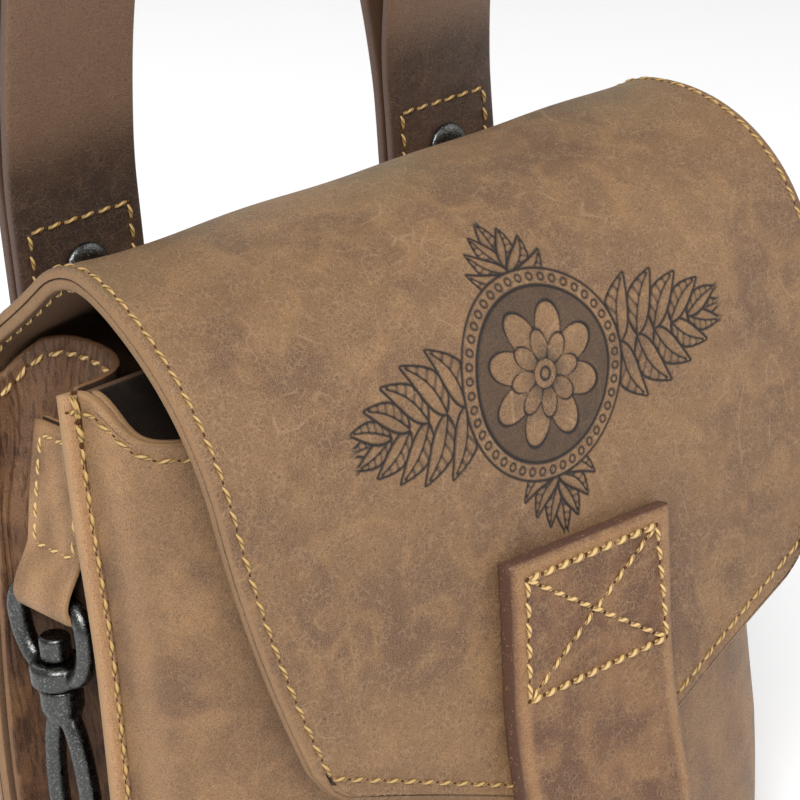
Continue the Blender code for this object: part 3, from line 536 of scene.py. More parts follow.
@dataclass(frozen=True)
class LeatherFinish:
    """Waxed vegetable-tanned cowhide, pulled up and worn.

    The wax gives soft cloudy darks and lights, the hide's grain a fine speckle under a net of pale
    wrinkles, and wear leaves long hair-thin scratches. Colours are sRGB hex values, sizes are
    millimetres, and a strength is the most that a layer covers.
    """

    name: str
    base: str
    dark: str
    light: str
    rim: str
    hair: str
    # Colour of the flesh side, which some finishes darken as painted shade for dark insides
    inside: str = "4a3424"
    patina: str = "746243"
    burn: str = "1c120d"
    pore: str = "7f6a5c"
    cloud_mm: float = 24.0
    mottle_mm: float = 3.2
    grain_mm: float = 0.23
    net_mm: float = 1.3
    hair_mm: float = 24.0
    crease_mm: float = 0.9
    grain_strength: float = 0.55
    net_strength: float = 0.2
    hair_strength: float = 0.2
    crease_strength: float = 0.0
    rim_strength: float = 0.75
    speckle: float = 0.0
    roughness: float = 0.56
    relief_mm: float = 0.14

    @cache
    def material(self) -> Material:
        """Mix the layers of colour and relief from the fields, in the order of the wear."""
        material, tree, shader = new_material(self.name)
        fields = self.fields(tree)
        colour = linear(self.dark)
        for word, blend, low, high, top, over in (
            ("clouds", "MIX", 0.33, 0.64, 1.0, self.base),
            ("patches", "MIX", 0.42, 0.74, 0.7, self.light),
            ("mottle", "MIX", 0.45, 0.76, 0.5, self.dark),
            ("patina", "MIX", 0.0, 1.0, 0.8, self.patina),
            # The creases are darkened as painted shade; the grain's pores darken as the hide's own speckle
            ("creases", "MULTIPLY", 0.47, 0.64, self.crease_strength, self.pore),
            ("grain", "MULTIPLY", 0.47, 0.66, self.grain_strength, self.pore),
            ("grain", "MIX", 0.45, 0.28, 0.5 * self.grain_strength, self.hair),
            ("net", "MIX", 0.0, 1.0, self.net_strength, self.hair),
            ("sweep", "MIX", 0.0, 1.0, self.hair_strength, self.hair),
            ("streak", "MIX", 0.0, 1.0, self.hair_strength, self.hair),
            ("rim", "MIX", 0.0, 1.0, self.rim_strength, self.rim),
            ("inside", "MIX", 0.0, 1.0, 1.0, self.inside),
            ("flecks", "MIX", 0.0, 1.0, self.speckle, self.hair),
            ("burn", "MIX", 0.0, 1.0, 1.0, self.burn),
        ):
            if not top:
                continue
            share = add_node(
                tree, "MapRange",
                {"Value": fields[word], "From Min": low, "From Max": high, "To Max": top},
                interpolation_type="SMOOTHSTEP"
            )
            colour = add_node(
                tree, "Mix", {0: share.outputs[0], 6: colour, 7: linear(over)}, data_type="RGBA",
                blend_type=blend
            ).outputs[2]
        rough = add_node(
            tree, "MapRange",
            {
                "Value": fields["grain"], "From Min": 0.3, "From Max": 0.7,
                "To Min": self.roughness - 0.12, "To Max": self.roughness + 0.12
            }
        )
        relief = 0.0
        for word, weight in (
            ("grain", 0.9),
            ("mottle", 0.7),
            ("net", -0.25),
            ("creases", -1.6 * self.crease_strength),
        ):
            relief = add_node(
                tree, "Math", {0: fields[word], 1: weight, 2: relief}, operation="MULTIPLY_ADD"
            ).outputs[0]
        bump = add_node(tree, "Bump", {"Strength": 1.0, "Distance": self.relief_mm * MM, "Height": relief})
        finished = {"Base Color": colour, "Roughness": rough.outputs[0], "Normal": bump.outputs[0]}
        set_inputs(shader, finished | {"Specular IOR Level": 0.4})
        return material

    def fields(self, tree: NodeTree) -> dict[str, NodeSocket]:
        """Make the fields that the colour and the relief are mixed from.

        Args:
            tree: Node tree of the material.

        Returns:
            Sockets with values from 0 to 1, by name.
        """
        place = add_node(tree, "TexCoord").outputs["Object"]
        wear = add_node(tree, "Attribute", attribute_name=WEAR)
        parts = add_node(tree, "SeparateColor", {0: wear.outputs["Color"]})
        fields = dict(zip(("rim", "burn", "patina"), parts.outputs))
        fields["inside"] = wear.outputs["Alpha"]
        runs = {}
        for word, size, stretch, detail, bend in (
            ("clouds", self.cloud_mm, (1, 1, 1), 3.0, 0.5),
            ("patches", 2.8 * self.mottle_mm, (1, 1, 1), 4.0, 0.9),
            ("mottle", self.mottle_mm, (1, 1, 1), 4.0, 0.3),
            ("grain", self.grain_mm, (1, 1, 1), 3.0, 0.0),
            ("creases", self.crease_mm, (1, 1, 0.2), 2.5, 0.35),
            ("sweep", self.hair_mm, (1, 1, 0.35), 2.5, 0.2),
            ("streak", self.hair_mm, (0.4, 0.7, 1), 2.5, 0.2),
            ("area", 0.5 * self.hair_mm, (1, 1, 1), 3.0, 0.0),
            ("flecks", 0.5, (1, 1, 1), 2.0, 0.0),
            ("net", self.net_mm, (1, 1, 1), 2.0, 0.0),
        ):
            runs[word] = add_node(
                tree, "VectorMath", {0: place, 1: [share / (size * MM) for share in stretch]},
                operation="MULTIPLY"
            ).outputs[0]
            noise = add_node(
                tree, "TexNoise",
                {"Vector": runs[word], "Scale": 1.0, "Detail": detail, "Distortion": bend}
            )
            fields[word] = noise.outputs["Fac"]
            shift = noise.outputs["Color"]
        bent = add_node(
            tree, "VectorMath", {0: shift, 1: (1.3, 1.3, 1.3), 2: runs["net"]}, operation="MULTIPLY_ADD"
        )
        cells = add_node(
            tree, "TexVoronoi", {"Vector": bent.outputs[0], "Scale": 1.0}, feature="DISTANCE_TO_EDGE"
        )
        for word, source, low, high, mask, start, full in (
            ("net", cells.outputs["Distance"], 0.12, 0.02, "mottle", 0.40, 0.58),
            ("sweep", None, 0.005, 0.001, "area", 0.50, 0.60),
            ("streak", None, 0.005, 0.001, "area", 0.50, 0.40),
            ("flecks", None, -0.13, -0.20, "rim", 0.0, 1.0),
        ):
            value = source
            if source is None:
                value = add_node(tree, "Math", {0: 0.5, 1: fields[word]}, operation="SUBTRACT").outputs[0]
            if low > 0 and source is None:
                value = add_node(tree, "Math", {0: value}, operation="ABSOLUTE").outputs[0]
            shares = []
            for reading, least, most in ((value, low, high), (fields[mask], start, full)):
                shares.append(
                    add_node(
                        tree, "MapRange", {"Value": reading, "From Min": least, "From Max": most},
                        interpolation_type="SMOOTHSTEP"
                    ).outputs[0]
                )
            fields[word] = add_node(tree, "Math", dict(enumerate(shares)), operation="MULTIPLY").outputs[0]
        return fields


@dataclass(frozen=True)
class ThreadFinish:
    """Waxed polyester thread of two twisted plies: a silky gold, with dark lines of painted shade in the
    valleys between plies.
    """

    name: str = "waxed_twisted_thread"
    ply: str = "b8965c"
    valley: str = "6b4d26"
    roughness: float = 0.45

    @cache
    def material(self) -> Material:
        """Make the thread's material, whose plies follow the strand's own UV map."""
        material, tree, shader = new_material(self.name)
        strand = add_node(tree, "UVMap", uv_map=TWIST_UV)
        parts = add_node(tree, "SeparateXYZ", {0: strand.outputs[0]})
        ahead = add_node(
            tree, "Math", {0: parts.outputs["Y"], 1: TWIST_TURNS * math.tau, 2: 0.0},
            operation="MULTIPLY_ADD"
        )
        around = add_node(
            tree, "Math", {0: parts.outputs["X"], 1: 2 * math.tau, 2: ahead.outputs[0]},
            operation="MULTIPLY_ADD"
        )
        wave = add_node(tree, "Math", {0: around.outputs[0]}, operation="SINE")
        share = add_node(
            tree, "MapRange", {"Value": wave.outputs[0], "From Min": -1.0, "From Max": -0.1},
            interpolation_type="SMOOTHSTEP"
        )
        # The darker valley colour is painted shade between the plies
        colour = add_node(
            tree, "Mix", {0: share.outputs[0], 6: linear(self.valley), 7: linear(self.ply)},
            data_type="RGBA"
        )
        bump = add_node(tree, "Bump", {"Strength": 1.0, "Distance": 0.1 * MM, "Height": share.outputs[0]})
        finished = {"Base Color": colour.outputs[2], "Normal": bump.outputs[0]}
        set_inputs(shader, finished | {"Roughness": self.roughness})
        return material


@dataclass(frozen=True)
class PuncturedLeather:
    """Painted shade in the needle holes: dull, and darker brown than the hide round it."""

    name: str = "pierced_leather"
    dark: str = "64421f"
    deep: str = "3d2613"

    @cache
    def material(self) -> Material:
        """Make the needle holes' painted shade, mottled by a fine grain."""
        material, tree, shader = new_material(self.name)
        place = add_node(tree, "TexCoord")
        grain = add_node(tree, "TexNoise", {"Vector": place.outputs["Object"], "Scale": 2 / MM})
        colour = add_node(
            tree, "Mix", {0: grain.outputs["Fac"], 6: linear(self.dark), 7: linear(self.deep)},
            data_type="RGBA"
        )
        dull = {"Roughness": 0.85, "Specular IOR Level": 0.1}
        set_inputs(shader, {"Base Color": colour.outputs[2]} | dull)
        return material


@dataclass(frozen=True)
class CastMetal:
    """Die-cast zinc with a dark antique plating, tumbled so that its high spots shine.

    The casting gives a lumpy skin of small pits, and the worn plating pale specks, which also stand as
    painted glints.
    """

    name: str = "antiqued_cast_zinc"
    plating: str = "4b4c4b"
    worn: str = "b5b3ac"
    pit_mm: float = 0.4
    roughness: float = 0.25

    @cache
    def material(self) -> Material:
        """Lay the pale specks, worn plating and painted glints, over the casting's pits, brighter and
        rougher in patches.
        """
        material, tree, shader = new_material(self.name)
        place = add_node(tree, "TexCoord")
        pits = add_node(
            tree, "TexNoise",
            {"Vector": place.outputs["Object"], "Scale": 1 / (self.pit_mm * MM), "Detail": 4.0}
        )
        cloud = add_node(
            tree, "TexNoise",
            {"Vector": place.outputs["Object"], "Scale": 0.25 / (self.pit_mm * MM), "Detail": 2.0}
        )
        # Pale specks: worn plating and painted glints
        share = add_node(
            tree, "MapRange",
            {"Value": pits.outputs["Fac"], "From Min": 0.5, "From Max": 0.75, "To Max": 0.4},
            interpolation_type="SMOOTHSTEP"
        )
        colour = add_node(
            tree, "Mix", {0: share.outputs[0], 6: linear(self.plating), 7: linear(self.worn)},
            data_type="RGBA"
        )
        rough = add_node(
            tree, "MapRange",
            {
                "Value": cloud.outputs["Fac"], "From Min": 0.3, "From Max": 0.7,
                "To Min": self.roughness - 0.08, "To Max": self.roughness + 0.14
            }
        )
        bump = add_node(
            tree, "Bump", {"Strength": 1.0, "Distance": 0.08 * MM, "Height": pits.outputs["Fac"]}
        )
        finished = {"Base Color": colour.outputs[2], "Roughness": rough.outputs[0]}
        set_inputs(shader, finished | {"Normal": bump.outputs[0], "Metallic": 1.0})
        return material


# Every finish makes its material once, when its first piece is made
Finish = LeatherFinish | ThreadFinish | PuncturedLeather | CastMetal

# Flap: the widest clouds, long scratches and a net of pale wrinkles
FLAP_HIDE = LeatherFinish(
    name="waxed_tan_cowhide", base="806142", dark="6c5039", light="926f4a", rim="97734f", hair="b89871",
    rim_strength=0.6,
)
# Pocket and tabs: the same hide with smaller clouds, and rubbed paler at its folds
# Its flesh side is darker than the hide's own, painted shade for the dark inside of the pocket and the backs
# of its lips
BODY_HIDE = LeatherFinish(
    name="waxed_tan_cowhide_body", base="876645", dark="70533b", light="96724d", rim="ab865f", hair="b89a74",
    inside="35251a", patina="b98f66", cloud_mm=18.0, net_strength=0.1, hair_strength=0.1,
)
# Lining: the rough flesh side of a split hide, dull and without scratches
SPLIT_HIDE = LeatherFinish(
    name="split_cowhide_lining", base="7d5f43", dark="634832", light="8c6d4f", rim="8f7050", hair="9c7f5d",
    inside="5f4631", grain_mm=0.4, net_strength=0.0, hair_strength=0.0, roughness=0.8, relief_mm=0.2,
)
# Gussets and base: thin brown hide with upright creases darkened by painted shade
CREASED_HIDE = LeatherFinish(
    name="creased_brown_cowhide", base="6f4e34", dark="553928", light="815d3d", rim="835f41", hair="b08d67",
    inside="3a281b", patina="6c4e36", cloud_mm=12.0, crease_strength=0.6, grain_strength=0.4,
    net_strength=0.0, hair_strength=0.0, roughness=0.6,
)
# Divider: near black and dull, painted shade for the dark inside of the mouth
DIVIDER_SHADE_HIDE = LeatherFinish(
    name="dyed_divider_cowhide", base="2a1d14", dark="1d140d", light="35281e", rim="6b503a", hair="4a3829",
    inside="1f1610", net_strength=0.0, hair_strength=0.0, roughness=0.8,
)
# Strap: bridle leather with a dark burnished rim, pale flecks and a polished border
BRIDLE_LEATHER = LeatherFinish(
    name="bridle_leather", base="775438", dark="62422c", light="89643f", rim="5b4034", hair="b09166",
    inside="2a1b18", patina="98714b", cloud_mm=9.0, hair_mm=14.0, net_strength=0.24, rim_strength=1.0,
    speckle=0.7, roughness=0.5,
)
# Belt loops: oiled, so darker and glossier than the rest; the dark base is also painted shade for the legs
# behind the flap, and the patina lightens the tops
OILED_LEATHER = LeatherFinish(
    name="oiled_loop_leather", base="443126", dark="31231b", light="553f30", rim="5f483d", hair="8d7152",
    patina="765a46", net_strength=0.12, hair_strength=0.12, roughness=0.46, speckle=0.4,
)
# Seams: gold twisted polyester whose plies catch the light in turn
SEAM_THREAD = ThreadFinish()
# Boxes and ears: the thicker cord, waxed pale
PALE_THREAD = ThreadFinish("waxed_cord_thread", ply="d0ae74", valley="80602f")
# Needle holes: small dull marks of painted shade that set off the stitches
NEEDLE_HOLE_SHADE = PuncturedLeather()
# Hooks, rivets and stud: dark plating with bright specks of worn plating and painted glints
CAST_ZINC = CastMetal()


def finish_piece(
    mesh: Mesh, finish: Finish, node: str | None = None, body: str = "bag",
) -> None:
    """Turn a mesh into a piece of the same name that rides on a body.

    Args:
        mesh: Finished mesh, in place.
        finish: Finish of all its faces.
        node: Solid that it stands for.
        body: Body that carries it.
    """
    mesh.materials.clear()
    mesh.materials.append(finish.material())
    mesh.shade_smooth()
    piece = placed(mesh.name, mesh)
    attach(piece, body)
    if node:
        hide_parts(node)
    LOG.info("%s: %d faces", mesh.name, len(mesh.polygons))


@dataclass
class Slab:
    """Flat piece of leather that is cut, rounded at its rim and bent into place.

    The columns and rows are the places of the grid before the outline moves them. The back face
    lies at offset `low`, and the dress function gives the burn and the patina of each place.
    """

    name: str
    columns: list[float]
    rows: list[float]
    low: float
    thickness: float
    surface: Surface
    outline: FlatMap | None = None
    rounding: float = 0.9 * MM
    under: float = 0.4 * MM
    fine: Callable[[Vector], bool] | None = None
    fine_cuts: int = 6
    dress: FlatMap | None = None

    def mesh(self) -> Mesh:
        """Cut, round and bend the leather."""
        bm = bmesh.new()
        wide, long = len(self.columns) - 1, len(self.rows) - 1
        bmesh.ops.create_grid(bm, x_segments=wide, y_segments=long, size=0.5)
        across = np.array([self.columns[round((v.co.x + 0.5) * wide)] for v in bm.verts])
        along = np.array([self.rows[round((v.co.y + 0.5) * long)] for v in bm.verts])
        if self.outline:
            across, along = self.outline(across, along)
        for vert, x, y in zip(bm.verts, across, along):
            vert.co = (x, y, 0.0)
        thicken(bm, bm.faces[:], self.thickness)
        for share, offset in ((1.0, self.rounding), (0.0, self.under)):
            height = 2 * share * self.thickness
            rim = [
                edge for edge in bm.edges if edge.calc_face_angle(0.0) > RIM_ANGLE
                and abs(edge.verts[0].co.z + edge.verts[1].co.z - height) < 0.01 * MM
            ]
            bmesh.ops.bevel(
                bm, geom=rim, offset=offset, offset_type="OFFSET", segments=5, profile=0.5, affect="EDGES",
                material=-1,
            )
        if self.fine:
            chosen = [f for f in bm.faces if f.normal.z > 0.5 and self.fine(f.calc_center_median())]
            edges = list({edge for face in chosen for edge in face.edges})
            bmesh.ops.subdivide_edges(
                bm, edges=edges, cuts=self.fine_cuts, use_grid_fill=True, use_single_edge=True
            )
        mesh = as_mesh(bm, self.name)
        self.bend(mesh)
        return mesh

    def bend(self, mesh: Mesh) -> None:
        """Write the wear of each place, and move the flat mesh onto the surface.

        Args:
            mesh: Flat mesh, whose heights run from 0 to the thickness.
        """
        flat = np.empty(len(mesh.vertices) * 3)
        mesh.vertices.foreach_get("co", flat)
        flat = flat.reshape(-1, 3)
        level = flat[:, 2] / self.thickness
        wear = np.zeros((len(flat), 4))
        depth = (1 - level) * self.thickness / (0.8 * self.rounding)
        wear[:, 0] = smoothstep(depth) * smoothstep(level / 0.1)
        wear[:, 3] = smoothstep(1 - level / 0.12)
        if self.dress:
            burn, patina = self.dress(flat[:, 0], flat[:, 1])
            outside = np.clip(level, 0.0, 1.0)
            wear[:, 1] = burn * outside
            wear[:, 2] = patina * outside
        layer = mesh.color_attributes.new(WEAR, "FLOAT_COLOR", "POINT")
        layer.data.foreach_set("color", wear.ravel())
        spots = self.surface(flat[:, 0], flat[:, 1], self.low + flat[:, 2])
        mesh.vertices.foreach_set("co", spots.ravel())
        mesh.update()
        bm = bmesh.new()
        bm.from_mesh(mesh)
        if bm.calc_volume(signed=True) < 0:
            bmesh.ops.reverse_faces(bm, faces=bm.faces[:])
        bm.to_mesh(mesh)
        bm.free()


@dataclass
class StitchRow:
    """Row of stitches along a flat route on one face of a leather piece."""

    surface: Surface
    route: Route
    level: float
    outward: float = 1.0
    pitch: float = STITCH_PITCH
    width: float = THREAD_WIDTH
    slant: float = 0.12

    def holes(self) -> tuple[Array, Array]:
        """Needle holes at even distances along the route.

        Returns:
            The holes' points on the leather's face and its outward normals there.
        """
        corners = np.array(self.route)
        shares = np.linspace(0, len(corners) - 1, 60 * (len(corners) - 1) + 1)
        keys = np.arange(len(corners))
        a = np.interp(shares, keys, corners[:, 0])
        b = np.interp(shares, keys, corners[:, 1])
        points = self.surface(a, b, np.full_like(a, self.level))
        lengths = run_lengths(points)
        count = max(1, round(lengths[-1] / self.pitch))
        marks = np.linspace(0, lengths[-1], count + 1)
        a, b = np.interp(marks, lengths, a), np.interp(marks, lengths, b)
        face = self.surface(a, b, np.full_like(a, self.level))
        raised = self.surface(a, b, np.full_like(a, self.level + self.outward * 0.1 * MM))
        normals = raised - face
        return face, normals / np.linalg.norm(normals, axis=1, keepdims=True)


@dataclass
class Needlework:
    """Thread and needle holes of one sub-assembly, joined as two pieces.

    A stitch arches out of the leather by `arch` and dives into it by `sink`, in thread widths. It
    spans the share `reach` of the way between its holes.
    """

    name: str
    rows: list[StitchRow] = field(default_factory=list)
    pale: bool = False
    sides: int = 6
    rings: int = 8
    arch: float = 0.3
    sink: float = 0.6
    reach: float = 0.9
    hole_size: float = 1.1

    def strand(self) -> Mesh:
        """One stitch along X, one unit long and wide: two twisted plies that dive at their ends."""
        bm = bmesh.new()
        bmesh.ops.create_cone(bm, cap_ends=True, segments=self.sides, radius1=0.5, radius2=0.5, depth=1.0)
        lengthwise = [edge for edge in bm.edges if abs(edge.verts[0].co.z - edge.verts[1].co.z) > 0.5]
        bmesh.ops.subdivide_edges(bm, edges=lengthwise, cuts=self.rings - 1)
        uv = bm.loops.layers.uv.new(TWIST_UV)
        for face in bm.faces:
            turns = [math.atan2(loop.vert.co.y, loop.vert.co.x) / math.tau for loop in face.loops]
            wraps = max(turns) - min(turns) > 0.5
            for loop, turn in zip(face.loops, turns):
                loop[uv].uv = (turn + 1 if wraps and turn < 0 else turn, loop.vert.co.z)
        for vert in bm.verts:
            t = vert.co.z
            angle = math.atan2(vert.co.y, vert.co.x)
            lobes = 0.5 * (1 + 0.08 * math.cos(2 * angle + TWIST_TURNS * math.tau * t))
            lean = 1 - 0.45 * abs(2 * t) ** 3
            height = self.arch - (self.arch + self.sink) * abs(2 * t) ** 3
            vert.co = (t, lobes * lean * math.cos(angle), lobes * lean * math.sin(angle) + height)
        bmesh.ops.recalc_face_normals(bm, faces=bm.faces[:])
        return as_mesh(bm, "strand")

    def puncture(self) -> Mesh:
        """One needle hole: a flat dark lens of painted shade, one unit long."""
        bm = bmesh.new()
        bmesh.ops.create_icosphere(bm, subdivisions=1, radius=0.5)
        bmesh.ops.scale(bm, vec=(1.0, 0.7, 0.16), verts=bm.verts[:])
        return as_mesh(bm, "puncture")

    def build(self) -> None:
        """Sew every row."""
        strand, puncture = self.strand(), self.puncture()
        threads, holes = bmesh.new(), bmesh.new()
        for row in self.rows:
            points, normals = row.holes()
            for index, (start, end) in enumerate(zip(points, points[1:])):
                up = Vector(normals[index] + normals[index + 1]).normalized()
                middle = Vector((start + end) / 2)
                ahead = Vector(end - start)
                across = up.cross(ahead).normalized()
                ahead = ahead * self.reach + across * (row.slant * ahead.length)
                turn = Matrix((ahead, across * row.width, up * row.width)).transposed()
                self.add_copy(threads, strand, Matrix.Translation(middle) @ turn.to_4x4())
            along = np.gradient(points, axis=0)
            for point, normal, step in zip(points, normals, along):
                up = Vector(normal)
                ahead = Vector(step).normalized()
                size = self.hole_size * row.width
                turn = Matrix((ahead * size, up.cross(ahead) * size, up * size)).transposed()
                self.add_copy(holes, puncture, Matrix.Translation(Vector(point)) @ turn.to_4x4())
        finish_piece(as_mesh(threads, f"{self.name}_thread"), PALE_THREAD if self.pale else SEAM_THREAD)
        finish_piece(as_mesh(holes, f"{self.name}_holes"), NEEDLE_HOLE_SHADE)
        bpy.data.meshes.remove(strand)
        bpy.data.meshes.remove(puncture)

    @staticmethod
    def add_copy(bm: BMesh, template: Mesh, place: Matrix) -> None:
        """Add a copy of a template to a bmesh.

        Args:
            bm: Bmesh that gets the copy.
            template: Mesh to copy.
            place: Turn, size and place of the copy.
        """
        copy = template.copy()
        copy.transform(place)
        bm.from_mesh(copy)
        bpy.data.meshes.remove(copy)


@dataclass
class Tooling:
    """Generic floral design, burnt and pressed into the flap's middle: a rosette and leaf sprays."""

    centre_s: float = 56.0 * MM
    petals: int = 8
    petal_reach: float = 14.0 * MM
    ring: float = 20.5 * MM
    band: float = 3.4 * MM
    heart: float = 3.0 * MM
    beads: int = 44
    line: float = 0.31 * MM
    leaf: float = 14.0 * MM
    leaf_width: float = 3.0 * MM
    spray_step: float = 4.6 * MM
    ground: float = 0.62
    half_wide: float = 47.0 * MM
    half_tall: float = 31.0 * MM
    spray_tall: float = 16.0 * MM

    def covers(self, spot: Vector) -> bool:
        """Tell whether a flat place lies in the design's cross-shaped field."""
        x, y = abs(spot.x), abs(spot.y - self.centre_s)
        return x < self.half_wide and y < self.spray_tall or x < self.ring + MM and y < self.half_tall

    def stroke(self, distance: Array) -> Array:
        """Share of burn at a distance from a line's middle."""
        return bell(distance, self.line)

    def leaves(self) -> list[tuple[bool, float, float, float]]:
        """Side or crest, foot, direction and size of each leaf, from the hindmost one."""
        side = (
            (4.3, 0, 0.62), (4.0, 20, 0.7), (3.0, 34, 0.82), (2.0, 46, 0.92), (1.0, 56, 1.0),
            (0.0, 66, 1.0)
        )
        crest = ((0.5, 0, 0.68), (0.2, 24, 0.66), (-0.1, 46, 0.7), (-0.4, 66, 0.75))
        return [
            (beside, self.ring + foot * self.spray_step, math.radians(turn), size)
            for beside, spray in ((False, crest), (True, side)) for foot, turn, size in spray
        ]

    def leaf_shape(self, x: Array, y: Array, turn: float, size: float) -> tuple[Array, Array, Array]:
        """Outline, shading and cover of a leaf that grows from the origin.

        Args:
            x: Places across, from the leaf's foot.
            y: Places up, from the leaf's foot.
            turn: Direction of the leaf, in radians.
            size: Length of the leaf as a share of the full one.

        Returns:
            The lines' burn, the shading's burn, and whether a place lies on the leaf.
        """
        ahead = (x * math.cos(turn) + y * math.sin(turn)) / (self.leaf * size)
        across = -x * math.sin(turn) + y * math.cos(turn)
        across = across - 1.8 * MM * np.sin(math.pi * np.clip(ahead, 0, 1)) * math.sin(turn)
        along = (ahead > 0) & (ahead < 1)
        half = self.leaf_width * size * np.sin(math.pi * np.clip(ahead, 0, 1) ** 0.75) ** 0.9
        inside = along & (np.abs(across) < half)
        rim = self.stroke(np.abs(across) - half) * along
        vein = self.stroke(across * 1.4) * along * (ahead < 0.9)
        ribs = np.clip(np.sin(ahead * math.tau * 6 - np.abs(across) / (0.7 * MM)), 0, 1)
        tone = 0.12 + 0.5 * ribs * (across > 0) + 0.35 * np.clip(0.45 - ahead, 0, 1)
        return np.maximum(rim, 0.85 * vein), inside * tone, inside

    def burn(self, a: Array, b: Array) -> tuple[Array, Array]:
        """Draw the whole design.

        Args:
            a: Places across the flap, from its middle.
            b: Lengths down the flap, from its ridge.

        Returns:
            The burn of the lines and of the shading, from 0 to 1.
        """
        x, y = a, self.centre_s - b
        line, shade = np.zeros_like(x), np.zeros_like(x)
        for beside, foot, turn, size in self.leaves():
            out, along = (np.abs(x), y) if beside else (np.abs(y), x)
            for mirror in (-1, 1):
                rim, tone, inside = self.leaf_shape(out - foot, mirror * along, turn, size)
                line = np.where(inside, rim, np.maximum(line, rim))
                shade = np.where(inside, tone, shade)
        radius, angle = np.hypot(x, y), np.arctan2(y, x)
        line = np.where(radius < self.ring, 0.0, line)
        shade = np.where(radius < self.ring, 0.0, shade)
        for round_at in (self.ring, self.ring - self.band, self.heart, 0.4 * self.heart):
            line = np.maximum(line, self.stroke(radius - round_at))
        around = (np.mod(angle * self.beads / math.tau, 1.0) - 0.5) * math.tau * self.ring / self.beads
        bead = np.hypot(around, radius - self.ring + self.band / 2)
        line = np.maximum(line, 0.9 * self.stroke(bead - 0.75 * MM))
        for reach, shift in ((self.petal_reach, 0.5), (0.62 * self.petal_reach, 0.0)):
            wave = np.abs(np.cos(self.petals / 2 * angle + shift * math.pi))
            petal = reach * (0.5 + 0.5 * wave**0.7)
            inside = (radius < petal) & (radius > self.heart)
            crease = self.stroke(np.arcsin(np.clip(wave, 0, 1)) * radius / self.petals * 3)
            own = np.maximum(self.stroke(radius - petal), 0.8 * crease * inside)
            line = np.where(inside, own, np.maximum(line, self.stroke(radius - petal)))
            fade = np.clip(1 - (radius - self.heart) / (petal - self.heart + 1e-6), 0, 1)
            shade = np.where(inside, 0.55 * fade**1.5, shade)
            if reach == self.petal_reach:
                ground = (radius < self.ring - self.band) & (radius > petal)
                shade = np.where(ground, self.ground, shade)
        return line, shade


